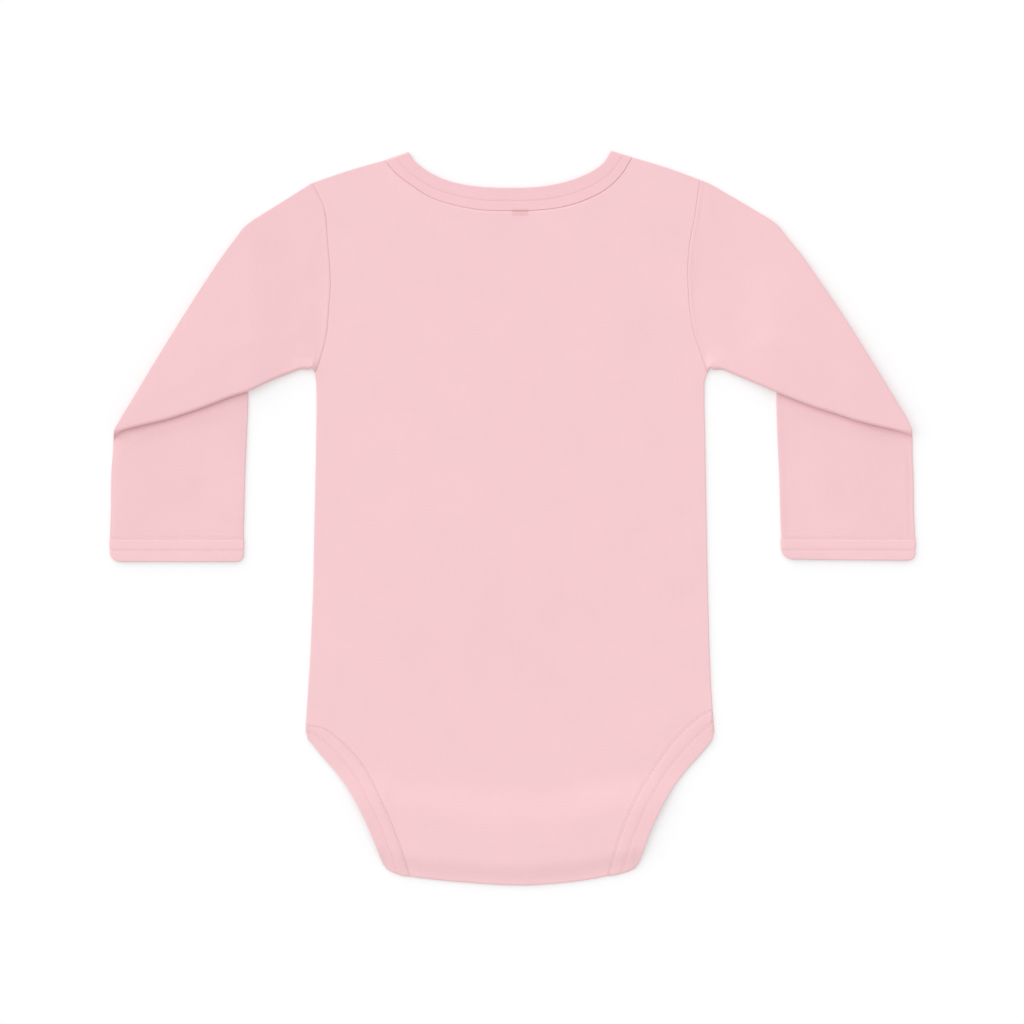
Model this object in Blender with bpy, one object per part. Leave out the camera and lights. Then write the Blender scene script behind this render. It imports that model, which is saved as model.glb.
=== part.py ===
"""Long-sleeved baby bodysuit in cotton jersey, laid flat on its front, back side up.

+Z is up from the table, +Y runs from the crotch to the neck and +X to the
garment's left as it lies.  The origin is on the table, under the middle of the
garment.  Sizes are in millimetres and are turned to metres where a vertex is set.

Every piece of cloth is one closed wall.  It starts as a flat grid of columns and
rows, is extruded to give the cloth its second side, and each vertex then takes
the place that its column, row and side (0 outside, 1 inside) give it.
"""

import math

import bmesh
import bpy
import numpy as np
from mathutils import Vector

MM = 0.001

# Cloth and how it lies
WALL = 1.0                        # one layer of jersey
AIR = 0.4                         # air between the front and the back
SEAM_GAP = 0.3                    # between two pieces at a seam
CORNER_GAP = 0.9                  # between the neck rib and the panels at a shoulder
HIP_GAP = 1.4                     # where a leg band turns over at the hip
ROUND = WALL + AIR / 2            # outer radius of an edge where the cloth turns over
HOLLOW = ROUND - WALL             # inner radius there
MID = ROUND                       # height of the middle of two layers on the table
TURN_STEPS = 4                    # segments in a half turn
LOFT = 1.0                        # how far the back stands up in the middle

# Crotch: distances are measured up from the fold
LEG_BAND = 14.4                   # width of a leg band
FLAP_START = 15.0                 # lower edge of the front flap
SNAP_LINE = 23.5                  # middle of the snaps
SNAP_PITCH = 34.0
SNAP_RADIUS = 5.0
SNAP_HEIGHT = 0.9
FLAP_RISE = SNAP_HEIGHT + SEAM_GAP
FLAP_LEVEL = 31.0                 # from here the flap comes down to the table
TAB_LENGTH = 36.0                 # how far the back's tab reaches under
TAB_TAPER = 2.0
EASE = 21.0                       # length over which the layers settle

# Sleeve pleat: the sleeve folds under, then down again to the forearm
TURN_RADIUS = 1.35                # middle of the flattened sleeve at a full turn
TURN_ARC = math.pi * TURN_RADIUS
STACK = 2 * TURN_RADIUS           # one flattened sleeve lying on another
PLEAT_START = 0.2                 # share of the width over which the pleat opens
PLEAT_RUN = 1.2                   # shortest straight run between its two turns
PLEAT_SLIDE = 4.0                 # how far the underarm edge slides along the first turn
SOFT_BEND = 26.0                  # degrees of turn at the sleeve's outer edge
COVER = TURN_RADIUS + ROUND + 1.0  # how far the upper sleeve stays level past the pleat
CUFF = 13.3                       # depth of a cuff band
CUFF_ROUND = 1.35                 # a cuff is doubled, so it is a little thicker


def table(columns, *rows):
    """Rows of sizes, read as one array for each named column."""
    return dict(zip(columns.split(), np.array(rows, dtype=float).T))


# Armholes: where the sleeve seams lie, from the shoulder to the underarm
ARMHOLE = table(
    "y      left    right",
    (184.4, -109.9, 103.3),
    (170.0, -103.4, 101.2),
    (155.0, -101.3, 98.3),
    (139.0, -100.0, 96.5),
    (124.0, -99.9, 96.8),
    (112.0, -100.5, 98.4),
    (101.0, -102.1, 100.7),
    (91.0, -104.3, 103.8),
    (82.0, -108.6, 107.6),
)

# Side seams, from the underarm to the hip
SIDE = table(
    "y       left    right",
    (82.0, -109.2, 107.6),
    (78.0, -108.4, 105.8),
    (73.5, -108.0, 105.4),
    (43.0, -108.1, 106.0),
    (0.0, -109.0, 106.7),
    (-45.0, -110.0, 107.6),
    (-78.0, -111.5, 108.6),
    (-105.0, -113.2, 110.2),
)

# Leg openings on the back: the free edge, from the hip to the crotch
LEG = table(
    "y       left    right",
    (-119.5, -113.4, 110.4),
    (-122.4, -111.5, 109.4),
    (-130.9, -104.6, 102.2),
    (-139.7, -97.0, 94.3),
    (-148.5, -90.3, 87.7),
    (-157.3, -85.3, 82.6),
    (-166.1, -80.9, 78.4),
    (-174.9, -77.2, 74.6),
    (-183.7, -73.7, 71.4),
    (-192.0, -70.4, 67.6),
)
FRONT_LEG_END = -178.0            # the front is cut higher than the back
FRONT_LEG_IN = 3.0                # and further in

# The way across a leg band, from its free edge to its seam, along the opening
LEG_BAND_WAY = table(
    "along degrees",
    (0.00, 90.0),
    (0.10, 56.0),
    (0.20, 40.0),
    (0.45, 32.0),
    (0.70, 23.0),
    (0.88, 12.0),
    (1.00, -21.0),
)

# The fold at the crotch
CROTCH = table(
    "x       y",
    (-70.4, -192.0),
    (-57.0, -196.9),
    (-40.0, -199.3),
    (-14.0, -201.4),
    (4.0, -201.9),
    (20.0, -201.3),
    (52.3, -197.0),
    (67.6, -192.0),
)

# Half of the neck, from the shoulder to the middle.  The rib's free edge and its
# seam, first on the back and then on the front, which is cut lower.
NECK_X = -1.4
NECK = table(
    "free_x free_y seam_x seam_y low_free_x low_free_y low_seam_x low_seam_y",
    (55.6, 201.9, 68.2, 197.2, 55.6, 201.9, 68.2, 197.2),
    (52.2, 195.0, 61.8, 189.8, 53.0, 190.0, 64.5, 184.0),
    (46.2, 190.5, 54.0, 182.5, 49.0, 179.5, 58.5, 171.5),
    (38.0, 186.4, 43.5, 176.5, 41.5, 169.0, 49.0, 160.0),
    (28.5, 183.5, 32.0, 172.2, 31.0, 160.8, 36.5, 150.5),
    (17.0, 181.9, 18.0, 169.8, 17.5, 155.2, 19.5, 143.8),
    (0.0, 181.2, 0.0, 169.1, 0.0, 153.5, 0.0, 141.5),
)

# Outer outline of a sleeve, from the shoulder to the elbow
SLEEVE_TOP = table(
    "x       y",
    (125.5, 174.9),
    (143.2, 163.8),
    (153.0, 152.9),
    (160.9, 141.9),
    (175.8, 119.9),
    (189.8, 97.9),
    (203.4, 75.9),
    (216.4, 53.9),
    (218.6, 49.6),
)

# Where the sleeve turns under: the lowest line of the upper sleeve
PLEAT_EDGE = table(
    "x       y",
    (218.4, 47.2),
    (204.0, 50.6),
    (186.5, 55.2),
    (168.0, 61.0),
    (146.0, 69.4),
    (131.0, 75.7),
    (113.8, 82.3),
)
PLEAT_WAY = (-0.318, -0.948)      # square to that line, towards the cuff
ELBOW_WAY = (0.12, -0.993)        # the same at the sleeve's outer edge
HIDDEN_CORNER = (146.6, 93.0)     # inner end of the hidden fold
HIDDEN_WAY = (-0.52, -0.854)      # square to the hidden fold
SAG = (119.0, 145.5)              # x over which the pleat comes off the table

# Forearm: its two edges, from the elbow to the cuff seam
FOREARM = table(
    "y       outer   inner",
    (93.0, 219.0, 145.3),
    (69.0, 219.2, 145.4),
    (43.0, 219.7, 146.3),
    (21.0, 220.7, 147.2),
    (-9.8, 221.2, 148.0),
)


def through(knots, values, at):
    """A smooth curve through a table's points, read at one or more places."""
    if knots[0] > knots[-1]:
        knots, values = knots[::-1], values[::-1]
    slopes = np.gradient(values, knots)
    at = np.clip(at, knots[0], knots[-1])
    left = np.clip(np.searchsorted(knots, at, side="right") - 1, 0, len(knots) - 2)
    step = knots[left + 1] - knots[left]
    s = (at - knots[left]) / step
    rise = s * s * (3 - 2 * s)
    start = s * (1 - s) ** 2 * step
    end = -s * s * (1 - s) * step
    values_between = values[left] + rise * (values[left + 1] - values[left])
    return values_between + start * slopes[left] + end * slopes[left + 1]


def along(x, y, share):
    """The point at a share of the way along a smooth line through x, y."""
    steps = np.hypot(np.diff(x), np.diff(y))
    length = np.concatenate(([0.0], np.cumsum(steps)))
    length /= length[-1]
    return np.array((through(length, x, share), through(length, y, share)))


def smooth(low, high, value):
    """0 below low, 1 above high, and an even curve between."""
    s = min(1.0, max(0.0, (value - low) / (high - low)))
    return s * s * (3 - 2 * s)


def mix(start, end, share):
    return start + (end - start) * share


def unit(vector):
    vector = np.asarray(vector, dtype=float)
    return vector / np.linalg.norm(vector)


# Heights of the layers over the table ---------------------------------------------

def above_fold(x, y):
    """How far a point lies up from the crotch fold."""
    return y - through(CROTCH["x"], CROTCH["y"], x)


def front_height(x, y):
    """Height of the middle of the stack for the front: raised over the snaps."""
    return MID + FLAP_RISE * (1 - smooth(FLAP_LEVEL, FLAP_LEVEL + EASE, above_fold(x, y)))


def back_height(x, y):
    """The same for the back and its tab: they lie over the flap, then come down."""
    up = above_fold(x, y)
    over_flap = smooth(ROUND, FLAP_START - 2, up)
    over_tab = 1 - smooth(TAB_LENGTH + 1, TAB_LENGTH + EASE, up)
    lift = front_height(x, y) - MID + (WALL + AIR) * over_tab
    return MID + lift * over_flap


# Walls ----------------------------------------------------------------------------

def fabric(name, colour, roughness, metallic=0.0):
    material = bpy.data.materials.new(name)
    material.use_nodes = True
    shader = material.node_tree.nodes["Principled BSDF"]
    shader.inputs["Base Color"].default_value = (*colour, 1.0)
    shader.inputs["Roughness"].default_value = roughness
    shader.inputs["Metallic"].default_value = metallic
    return material


def add_part(name, mesh_data, material):
    """Put a finished bmesh in the collection as one named part."""
    mesh = bpy.data.meshes.new(name)
    mesh_data.to_mesh(mesh)
    mesh_data.free()
    mesh.materials.append(material)
    part = bpy.data.objects.new(name, mesh)
    PARTS.objects.link(part)
    mesh.shade_smooth()
    mesh.set_sharp_from_angle(angle=math.radians(40))
    return part


def cloth_wall(name, material, columns, rows, place, ring=False):
    """A closed wall of cloth; place(column, row, side) gives each vertex its place.

    A ring's last column is joined to its first before the cloth gets its thickness.
    """
    bm = bmesh.new()
    across = columns if ring else columns - 1
    bmesh.ops.create_grid(bm, x_segments=across, y_segments=rows - 1, size=0.5)
    column_of = bm.verts.layers.int.new("column")
    row_of = bm.verts.layers.int.new("row")
    for vert in bm.verts:
        vert[column_of] = round((vert.co.x + 0.5) * across) % columns
        vert[row_of] = round((vert.co.y + 0.5) * (rows - 1))
    if ring:
        for vert in bm.verts:
            angle = 2 * math.pi * vert[column_of] / columns
            vert.co = (math.cos(angle), math.sin(angle), vert[row_of])
        bmesh.ops.remove_doubles(bm, verts=bm.verts[:], dist=0.0001)
    extruded = bmesh.ops.extrude_face_region(bm, geom=bm.faces[:])
    inside = {item for item in extruded["geom"] if isinstance(item, bmesh.types.BMVert)}
    for vert in bm.verts:
        side = 1 if vert in inside else 0
        vert.co = Vector(place(vert[column_of], vert[row_of], side)) * MM
    bmesh.ops.recalc_face_normals(bm, faces=bm.faces[:])
    if bm.calc_volume(signed=True) < 0:
        bmesh.ops.reverse_faces(bm, faces=bm.faces[:])
    return add_part(name, bm, material)


def turned(base, way, turn, side, height):
    """A point of a wall that has turned over by `turn` degrees about its edge."""
    radius = HOLLOW if side else ROUND
    out = radius * math.sin(math.radians(turn))
    up = radius * math.cos(math.radians(turn))
    return (base[0] + way[0] * out, base[1] + way[1] * out, height + up)


# Outlines of the body -------------------------------------------------------------

def leg_edge(hand, share, front=False):
    """Free edge of a leg opening, from the hip (0) to the crotch (1)."""
    x, y = along(LEG[hand], LEG["y"], share)
    if front:
        hip, crotch = LEG["y"][0], LEG["y"][-1]
        inward = 1 if hand == "left" else -1
        x += inward * FRONT_LEG_IN * share
        y = hip + (y - hip) * (FRONT_LEG_END - hip) / (crotch - hip)
    return np.array((x, y))


def leg_seam(hand, share, front=False, gap=0.0):
    """Seam of a leg band, LEG_BAND in from its free edge."""
    degrees = through(LEG_BAND_WAY["along"], LEG_BAND_WAY["degrees"], share)
    if front:
        degrees = max(degrees, 5.0)
    inward = 1 if hand == "left" else -1
    way = np.array((inward * math.cos(math.radians(degrees)), math.sin(math.radians(degrees))))
    return leg_edge(hand, share, front) + way * (LEG_BAND + gap)


def neck_half(part):
    """The two columns of one line of the neck, such as its seam."""
    return NECK[part + "_x"], NECK[part + "_y"]


def neck_line(part, share):
    """A line of the neck, from its left shoulder (-1) over the middle to its right (1)."""
    x, y = neck_half(part)
    point = along(x[::-1], y[::-1], abs(share))
    return np.array((NECK_X + math.copysign(point[0], share), point[1]))


def shoulder_way(hand):
    """Out of the garment, square to a shoulder line."""
    sign = -1 if hand == "left" else 1
    run = abs(ARMHOLE[hand][0] - NECK_X) - NECK["seam_x"][0]
    fall = NECK["seam_y"][0] - ARMHOLE["y"][0]
    return unit((sign * fall, run))


# Body panels ----------------------------------------------------------------------

RIM_TURNS = (90.0, 45.0)          # turn of the cloth at the columns of a rounded edge
NECK_SHARES = np.linspace(-1, 1, 15)
SHOULDER_COLUMNS = 2
TAB_ROWS = (4.5, 8.5, FLAP_START - 2, FLAP_LEVEL - 8, TAB_LENGTH)
SIDE_ROWS = (80.5, 78.0, 72.0, 43.0, 0.0, -45.0, -78.0, -98.0)
LEG_ROWS = (0.0, 0.04, 0.09, 0.16, 0.26, 0.38, 0.5, 0.62, 0.72, 0.8, 0.86, 0.91, 0.955, 1.0)
WIDTH_SHARES = (0.0, 0.05, 0.10, 0.15, 0.21, 0.33, 0.47, 0.62, 0.77, 0.9, 1.0)
UP = np.array((0.0, 0.0, 1.0))


def armhole_point(hand, share):
    """A point of an armhole, from the shoulder (0) to the underarm (1)."""
    x, y = along(ARMHOLE[hand], ARMHOLE["y"], share)
    return np.array((x, y))


def edge_share(share):
    """A share of an armhole between the rounded edges of its sleeve."""
    length = ARMHOLE["y"][0] - ARMHOLE["y"][-1]
    return mix(ROUND / length, 1 - ROUND / length, share)


def panel_columns(seam):
    """Point on the top edge, way out of it, turn at a side and hand, for each column."""
    neck = [neck_line(seam, share) for share in NECK_SHARES]
    middle = []
    for index, point in enumerate(neck[1:-1], start=1):
        run = unit(neck[index + 1] - neck[index - 1])
        out = np.array((-run[1], run[0]))
        middle.append((point - out * SEAM_GAP, out, False, 0.0, "left"))
    sides = {}
    for hand, end in (("left", neck[0]), ("right", neck[-1])):
        way = shoulder_way(hand)
        inward = 1 if hand == "left" else -1
        armhole = armhole_point(hand, 0.0)
        slope = (end[1] - armhole[1]) / (end[0] - armhole[0])
        corner = armhole + np.array((1.0, slope)) * inward * (ROUND + SEAM_GAP / 2)
        end = end - np.array((1.0, slope)) * inward * CORNER_GAP
        shares = np.linspace(0, 1, SHOULDER_COLUMNS + 1)
        line = [(mix(corner, end, share), way, True, 0.0, hand) for share in shares]
        rim = [(corner, way, True, turn, hand) for turn in RIM_TURNS]
        sides[hand] = rim + line
    return sides["left"] + middle + sides["right"][::-1]


def row_ends(kind, value, front):
    """Left and right ends of a panel's row, and 1 where its edges are side seams."""
    if kind == "arm":
        gap = np.array((SEAM_GAP / 2, 0))
        return armhole_point("left", value) + gap, armhole_point("right", value) - gap, 0.0
    if kind == "side":
        ends = [np.array((through(SIDE["y"], SIDE[hand], value), value)) for hand in ("left", "right")]
        return ends[0], ends[1], smooth(SIDE["y"][0], SIDE["y"][1], value)
    if kind == "leg":
        gap = SEAM_GAP if value > 0.0 else HIP_GAP
        ends = [leg_seam(hand, value, front, gap) for hand in ("left", "right")]
        return ends[0], ends[1], 1.0 if value == 0.0 else 0.0
    left, right = tab_ends(value)
    return left, right, 0.0


def panel_place(columns, rows, front):
    """The place(column, row, side) of the back or the front panel."""
    first, last = columns[0][0], columns[-1][0]
    start = FLAP_START if front else ROUND

    def fold_line(x):
        return through(CROTCH["x"], CROTCH["y"], x)

    def place(column, row, side):
        top, way, on_shoulder, side_turn, hand = columns[column]
        kind, value, row_turn = rows[row]
        radius = HOLLOW if side else ROUND
        left, right, seam = row_ends(kind, value, front)
        share = (top[0] - first[0]) / (last[0] - first[0])
        turn = math.radians(side_turn)
        x = mix(left[0] + ROUND, right[0] - ROUND, share)
        x += mix(ROUND, radius, seam) * math.sin(turn) * (-1 if hand == "left" else 1)
        y = mix(left[1], right[1], share)
        up = 1 - seam * (1 - math.cos(turn))
        if kind == "arm":
            # The shoulders and the neck bend the rows that lie below them
            y += (1 - smooth(0.0, 1.0, value)) * (top[1] - mix(first[1], last[1], share))
            if value == 0.0:
                turn = math.radians(row_turn)
                if on_shoulder:
                    out = radius * math.sin(turn) - ROUND
                    y = top[1] - abs(way[0] / way[1]) * ROUND * math.sin(math.radians(side_turn))
                    x, y = x + way[0] * out, y + way[1] * out
                    up *= math.cos(turn)
                else:
                    y = top[1] - ROUND * (1 - math.sin(turn))
        elif kind == "leg":
            # The crotch fold bends the rows that lie above it
            ends = mix(fold_line(left[0]), fold_line(right[0]), share)
            y += smooth(0.55, 1.0, value) * (fold_line(x) - ends)
            if value == 1.0:
                y = fold_line(x) + start
        elif kind == "tab":
            y = fold_line(x) + value
        if kind == "tab":
            turn = math.radians(row_turn)
            at_fold = value == ROUND
            y -= radius * math.sin(turn) if at_fold else 0.0
            height = MID if at_fold else back_height(x, y)
            return (x, y, height + radius * math.cos(turn))
        lift = max(radius * up, SEAM_GAP / 2)
        if front:
            return (x, y, front_height(x, y) - lift)
        return (x, y, back_height(x, y) + lift + LOFT * loft(share, y))

    return place


def loft(share, y):
    """The back stands a little off the front, most in the middle of the body."""
    across = max(0.0, 1 - (2 * share - 1) ** 2)
    down = smooth(-100.0, -40.0, y) * (1 - smooth(60.0, 165.0, y))
    return across * down


def tab_ends(up):
    """Ends of a row of the back's tab, which lies under the back."""
    narrower = TAB_TAPER * up / TAB_LENGTH
    left = leg_seam("left", 1.0, gap=SEAM_GAP)
    right = leg_seam("right", 1.0, gap=SEAM_GAP)
    return left + (narrower, 0), right - (narrower, 0)


def body_panels(material):
    top = [("arm", 0.0, turn) for turn in RIM_TURNS] + [("arm", 0.0, 0.0)]
    top += [("arm", edge_share(share), 0.0) for share in WIDTH_SHARES[1:-1]] + [("arm", 1.0, 0.0)]
    sides = [("side", y, 0.0) for y in SIDE_ROWS]
    legs = [("leg", share, 0.0) for share in LEG_ROWS]
    fold = [("tab", ROUND, 180.0 * step / TURN_STEPS) for step in range(1, TURN_STEPS + 1)]
    tab = [("tab", up, 180.0) for up in TAB_ROWS]
    for name, seam, rows, front in (
        ("back_panel", "seam", top + sides + legs + fold + tab, False),
        ("front_panel", "low_seam", top + sides + legs, True),
    ):
        columns = panel_columns(seam)
        place = panel_place(columns, rows, front)
        cloth_wall(name, material, len(columns), len(rows), place)


# Bands ----------------------------------------------------------------------------

BAND_COLUMNS = 3


def strip(name, material, stations, ring=False):
    """A rib strip through stations: (free edge, seam, way out, turn, height)."""
    def place(station, row, side):
        free, seam, way, turn, height = stations[station]
        base = mix(free, seam, row / (BAND_COLUMNS - 1))
        level = height(*base) if callable(height) else height
        return turned(base, way, turn, side, level)

    return cloth_wall(name, material, len(stations), BAND_COLUMNS, place, ring)


def neck_rib(material):
    """One ring: over the back, round a shoulder, over the front and round the other."""
    stations = []
    for front, hand in ((False, "right"), (True, "left")):
        direction = -1 if front else 1
        names = ("low_free", "low_seam") if front else ("free", "seam")
        turn = 180.0 if front else 0.0
        for share in NECK_SHARES * direction:
            free, seam = (neck_line(part, share) for part in names)
            if abs(share) == 1:
                inward = shoulder_way("left" if share < 0 else "right") * ROUND
                free, seam = free - inward, seam - inward
            stations.append((free, seam, (0, 0), turn, MID))
        way = shoulder_way(hand)
        free, seam, _, _, _ = stations[-1]
        for step in range(1, TURN_STEPS):
            angle = turn + 180.0 * step / TURN_STEPS
            sign = -1 if front else 1
            stations.append((free, seam, way * sign, angle, MID))
    strip("neck_rib", material, stations, ring=True)


def leg_band(hand, material):
    """Under the tab, round the crotch fold, up the back, round the hip, down the front."""
    outward = np.array((-1.0 if hand == "left" else 1.0, 0.0))
    down = np.array((0.0, -1.0))
    inward = -outward[0]
    stations = []

    def crotch(up):
        ends = []
        for point in (leg_edge(hand, 1.0), leg_seam(hand, 1.0)):
            fold = through(CROTCH["x"], CROTCH["y"], point[0])
            narrower = TAB_TAPER * up / TAB_LENGTH
            ends.append(np.array((point[0] + inward * narrower, fold + up)))
        return ends

    for up in reversed(TAB_ROWS):
        stations.append((*crotch(up), (0, 0), 180.0, back_height))
    for step in range(TURN_STEPS, 0, -1):
        stations.append((*crotch(ROUND), down, 180.0 * step / TURN_STEPS, MID))
    for share in reversed(LEG_ROWS):
        free, seam = leg_edge(hand, share), leg_seam(hand, share)
        if share == 1.0:
            free, seam = crotch(ROUND)
        if share == 0.0:
            free, seam = free - outward * ROUND, seam - outward * ROUND
        stations.append((free, seam, (0, 0), 0.0, back_height))
    for step in range(1, TURN_STEPS):
        stations.append((free, seam, outward, 180.0 * step / TURN_STEPS, MID))
    for share in LEG_ROWS:
        free, seam = leg_edge(hand, share, front=True), leg_seam(hand, share, front=True)
        if share == 0.0:
            free, seam = free - outward * ROUND, seam - outward * ROUND
        if share == 1.0:
            free, seam = flap_end(free), flap_end(seam)
        stations.append((free, seam, (0, 0), 180.0, front_height))
    strip("leg_band_" + hand, material, stations)


def flap_end(point):
    """A point at the lower edge of the front flap."""
    return np.array((point[0], through(CROTCH["x"], CROTCH["y"], point[0]) + FLAP_START))


# Sleeves --------------------------------------------------------------------------

UNDERARM_RISE = 3.5               # the underarm edge comes into the pleat from above
UPPER_ROWS = (0.0, 0.12, 0.27, 0.42, 0.57, 0.71, 0.83, 0.92, 1.0)
TURN_ROWS = 5
HIDDEN_ROWS = (0.33, 0.67, 1.0)
FOREARM_ROWS = (0.08, 0.2, 0.36, 0.55, 0.78, 1.0)


def distance_to_triangle(point, corners):
    """How far a point is from a triangle, 0 inside it."""
    inside, nearest = [], math.inf
    for start, end in zip(corners, corners[1:] + corners[:1]):
        edge, offset = end - start, point - start
        inside.append(edge[0] * offset[1] - edge[1] * offset[0])
        share = min(1.0, max(0.0, offset @ edge / (edge @ edge)))
        nearest = min(nearest, np.linalg.norm(offset - edge * share))
    return 0.0 if min(inside) >= 0 or max(inside) <= 0 else nearest


def sleeve_middle(hand):
    """Rows of (point, normal) through the middle of the flattened, pleated sleeve.

    Worked out for a sleeve at +X: down the upper sleeve, round the pleat's first
    turn, back under it, round the second turn and down the forearm.
    """
    sign = -1 if hand == "left" else 1
    arm_x, arm_y = sign * ARMHOLE[hand], ARMHOLE["y"]
    top_x = np.concatenate(([arm_x[0]], SLEEVE_TOP["x"]))
    top_y = np.concatenate(([arm_y[0]], SLEEVE_TOP["y"]))

    def outer_edge(share):
        step = 0.01
        before = along(top_x, top_y, max(0.0, share - step))
        after = along(top_x, top_y, min(1.0, share + step))
        run = unit(after - before)
        return along(top_x, top_y, share) + np.array((run[1], -run[0])) * ROUND

    def armhole_line(share):
        return along(arm_x, arm_y, edge_share(share)) + (SEAM_GAP / 2, 0)

    def pleat_line(share):
        point = along(PLEAT_EDGE["x"], PLEAT_EDGE["y"], share)
        return point - np.array(PLEAT_WAY) * (TURN_RADIUS + ROUND) if share > 0 else outer_edge(1.0)

    def under_height(x):
        return MID + STACK * smooth(*SAG, x)

    elbow, corner, hidden_corner = pleat_line(0.0), pleat_line(1.0), np.array(HIDDEN_CORNER)
    over_corner = corner - np.array(PLEAT_WAY) * UNDERARM_RISE
    armpit = armhole_line(1.0)
    slide = np.array((-PLEAT_WAY[1], PLEAT_WAY[0])) * PLEAT_SLIDE
    rows = []
    for share in WIDTH_SHARES:
        opening = smooth(0.0, PLEAT_START, share)
        full_turn = math.radians(mix(SOFT_BEND, 180.0, opening))
        level = 2 * STACK - PLEAT_RUN * math.sin(full_turn)
        radius = max(TURN_RADIUS, min(TURN_ARC / full_turn, level / (2 - 2 * math.cos(full_turn))))
        drop = 2 * radius * (1 - math.cos(full_turn)) + PLEAT_RUN * math.sin(full_turn)
        first_way = unit(mix(np.array(ELBOW_WAY), np.array(PLEAT_WAY), opening))
        second_way = unit(mix(np.array(ELBOW_WAY), np.array(HIDDEN_WAY), opening))
        start = pleat_line(share)
        open_share = max(0.0, (share - PLEAT_START) / (1 - PLEAT_START))
        hidden = (hidden_corner - corner - slide) * open_share
        hidden = hidden + first_way * PLEAT_RUN * math.cos(full_turn)

        def top_height(flat):
            reach = mix(ROUND, COVER, smooth(*SAG, flat[0]))
            near = distance_to_triangle(flat, [elbow, corner, hidden_corner])
            near = max(0.0, near - reach)
            far = np.min(np.hypot(arm_fine[0] - flat[0], arm_fine[1] - flat[1]))
            full = drop if share < PLEAT_START else under_height(flat[0]) + STACK - MID
            return MID + full * smooth(0.0, 1.0, far / (far + near + 1e-6))

        arm_fine = along(arm_x, arm_y, np.linspace(0, 1, 60))
        arm_fine[0] += SEAM_GAP / 2
        line = []
        for row in UPPER_ROWS:
            inner = mix(mix(armpit, over_corner, row), mix(over_corner, corner, row), row)
            flat = mix(outer_edge(row), inner, share)
            flat = flat + (1 - row) * (armhole_line(share) - mix(outer_edge(0.0), armpit, share))
            flat = flat + row * (start - mix(elbow, corner, share))
            line.append(graph_point(top_height, flat))
        top, upward = line[-1][0][2], line[-1][1]
        for step in range(1, TURN_ROWS + 1):
            turn = full_turn * step / TURN_ROWS
            flat = start + first_way * radius * math.sin(turn) + slide * share * step / TURN_ROWS
            height = top - radius * (1 - math.cos(turn))
            line.append((np.array((*flat, height)), turned_normal(upward, first_way, turn)))
        under, base = line[-1][0][2], flat
        for row in HIDDEN_ROWS:
            flat = base + hidden * row
            if share < PLEAT_START:
                height = mix(under, MID + radius * (1 - math.cos(full_turn)), row)
                line.append((np.array((*flat, height)), line[-1][1]))
            else:
                point, normal = graph_point(lambda spot: under_height(spot[0]), flat)
                line.append((point, -normal))
        base = flat
        for step in range(1, TURN_ROWS + 1):
            turn = full_turn * (1 - step / TURN_ROWS)
            flat = base + second_way * radius * (math.sin(full_turn) - math.sin(turn))
            height = MID + radius * (1 - math.cos(turn))
            line.append((np.array((*flat, height)), turned_normal(UP, second_way, turn)))
        base = flat
        for row in FOREARM_ROWS:
            y = mix(base[1], FOREARM["y"][-1] + SEAM_GAP, row)
            outer = through(FOREARM["y"], FOREARM["outer"], y) - ROUND
            inner = through(FOREARM["y"], FOREARM["inner"], y) + ROUND
            x = mix(base[0], mix(outer, inner, share), smooth(0.0, 0.3, row))
            line.append((np.array((x, y, MID)), UP))
        rows.append(line)
    points = np.array([[point for point, _ in line] for line in rows]).transpose(1, 0, 2)
    normals = np.array([[normal for _, normal in line] for line in rows]).transpose(1, 0, 2)
    return points, normals


def graph_point(height, flat):
    """Point and normal of a surface that is given by its height over the table."""
    step = 0.3
    slope_x = height(flat + (step, 0)) - height(flat - (step, 0))
    slope_y = height(flat + (0, step)) - height(flat - (0, step))
    normal = unit((-slope_x / (2 * step), -slope_y / (2 * step), 1.0))
    return np.array((*flat, height(flat))), normal


def turned_normal(start, way, turn):
    return unit(start * math.cos(turn) + np.array((*way, 0.0)) * math.sin(turn))


def way_down(points):
    """Mean direction at each point of the lines that run down the sleeve."""
    steps = np.diff(points, axis=0)
    steps /= np.linalg.norm(steps, axis=2, keepdims=True)
    both = np.concatenate((steps[:1], steps)) + np.concatenate((steps, steps[-1:]))
    return both / np.linalg.norm(both, axis=2, keepdims=True)


def sleeve_ring():
    """(share of the width, turn, edge) for each column round a flattened sleeve."""
    count = len(WIDTH_SHARES)
    turns = [180.0 * step / TURN_STEPS for step in range(1, TURN_STEPS)]
    ring = [(index, 0.0, 0) for index in range(count)]
    ring += [(count - 1, turn, 1) for turn in turns]
    ring += [(index, 180.0, 0) for index in reversed(range(count))]
    ring += [(0, turn, -1) for turn in reversed(turns)]
    return ring


def sleeve(hand, material):
    sign = -1 if hand == "left" else 1
    points, normals = sleeve_middle(hand)
    outward = np.cross(way_down(points), normals)
    outward /= np.linalg.norm(outward, axis=2, keepdims=True)
    ring = sleeve_ring()

    def place(column, row, side):
        index, turn, edge = ring[column]
        radius = HOLLOW if side else ROUND
        angle = math.radians(turn)
        out = outward[row, index] * edge
        spot = points[row, index] + radius * (normals[row, index] * math.cos(angle) + out * math.sin(angle))
        return (sign * spot[0], spot[1], spot[2])

    cloth_wall("sleeve_" + hand, material, len(ring), len(points), place, ring=True)


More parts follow.
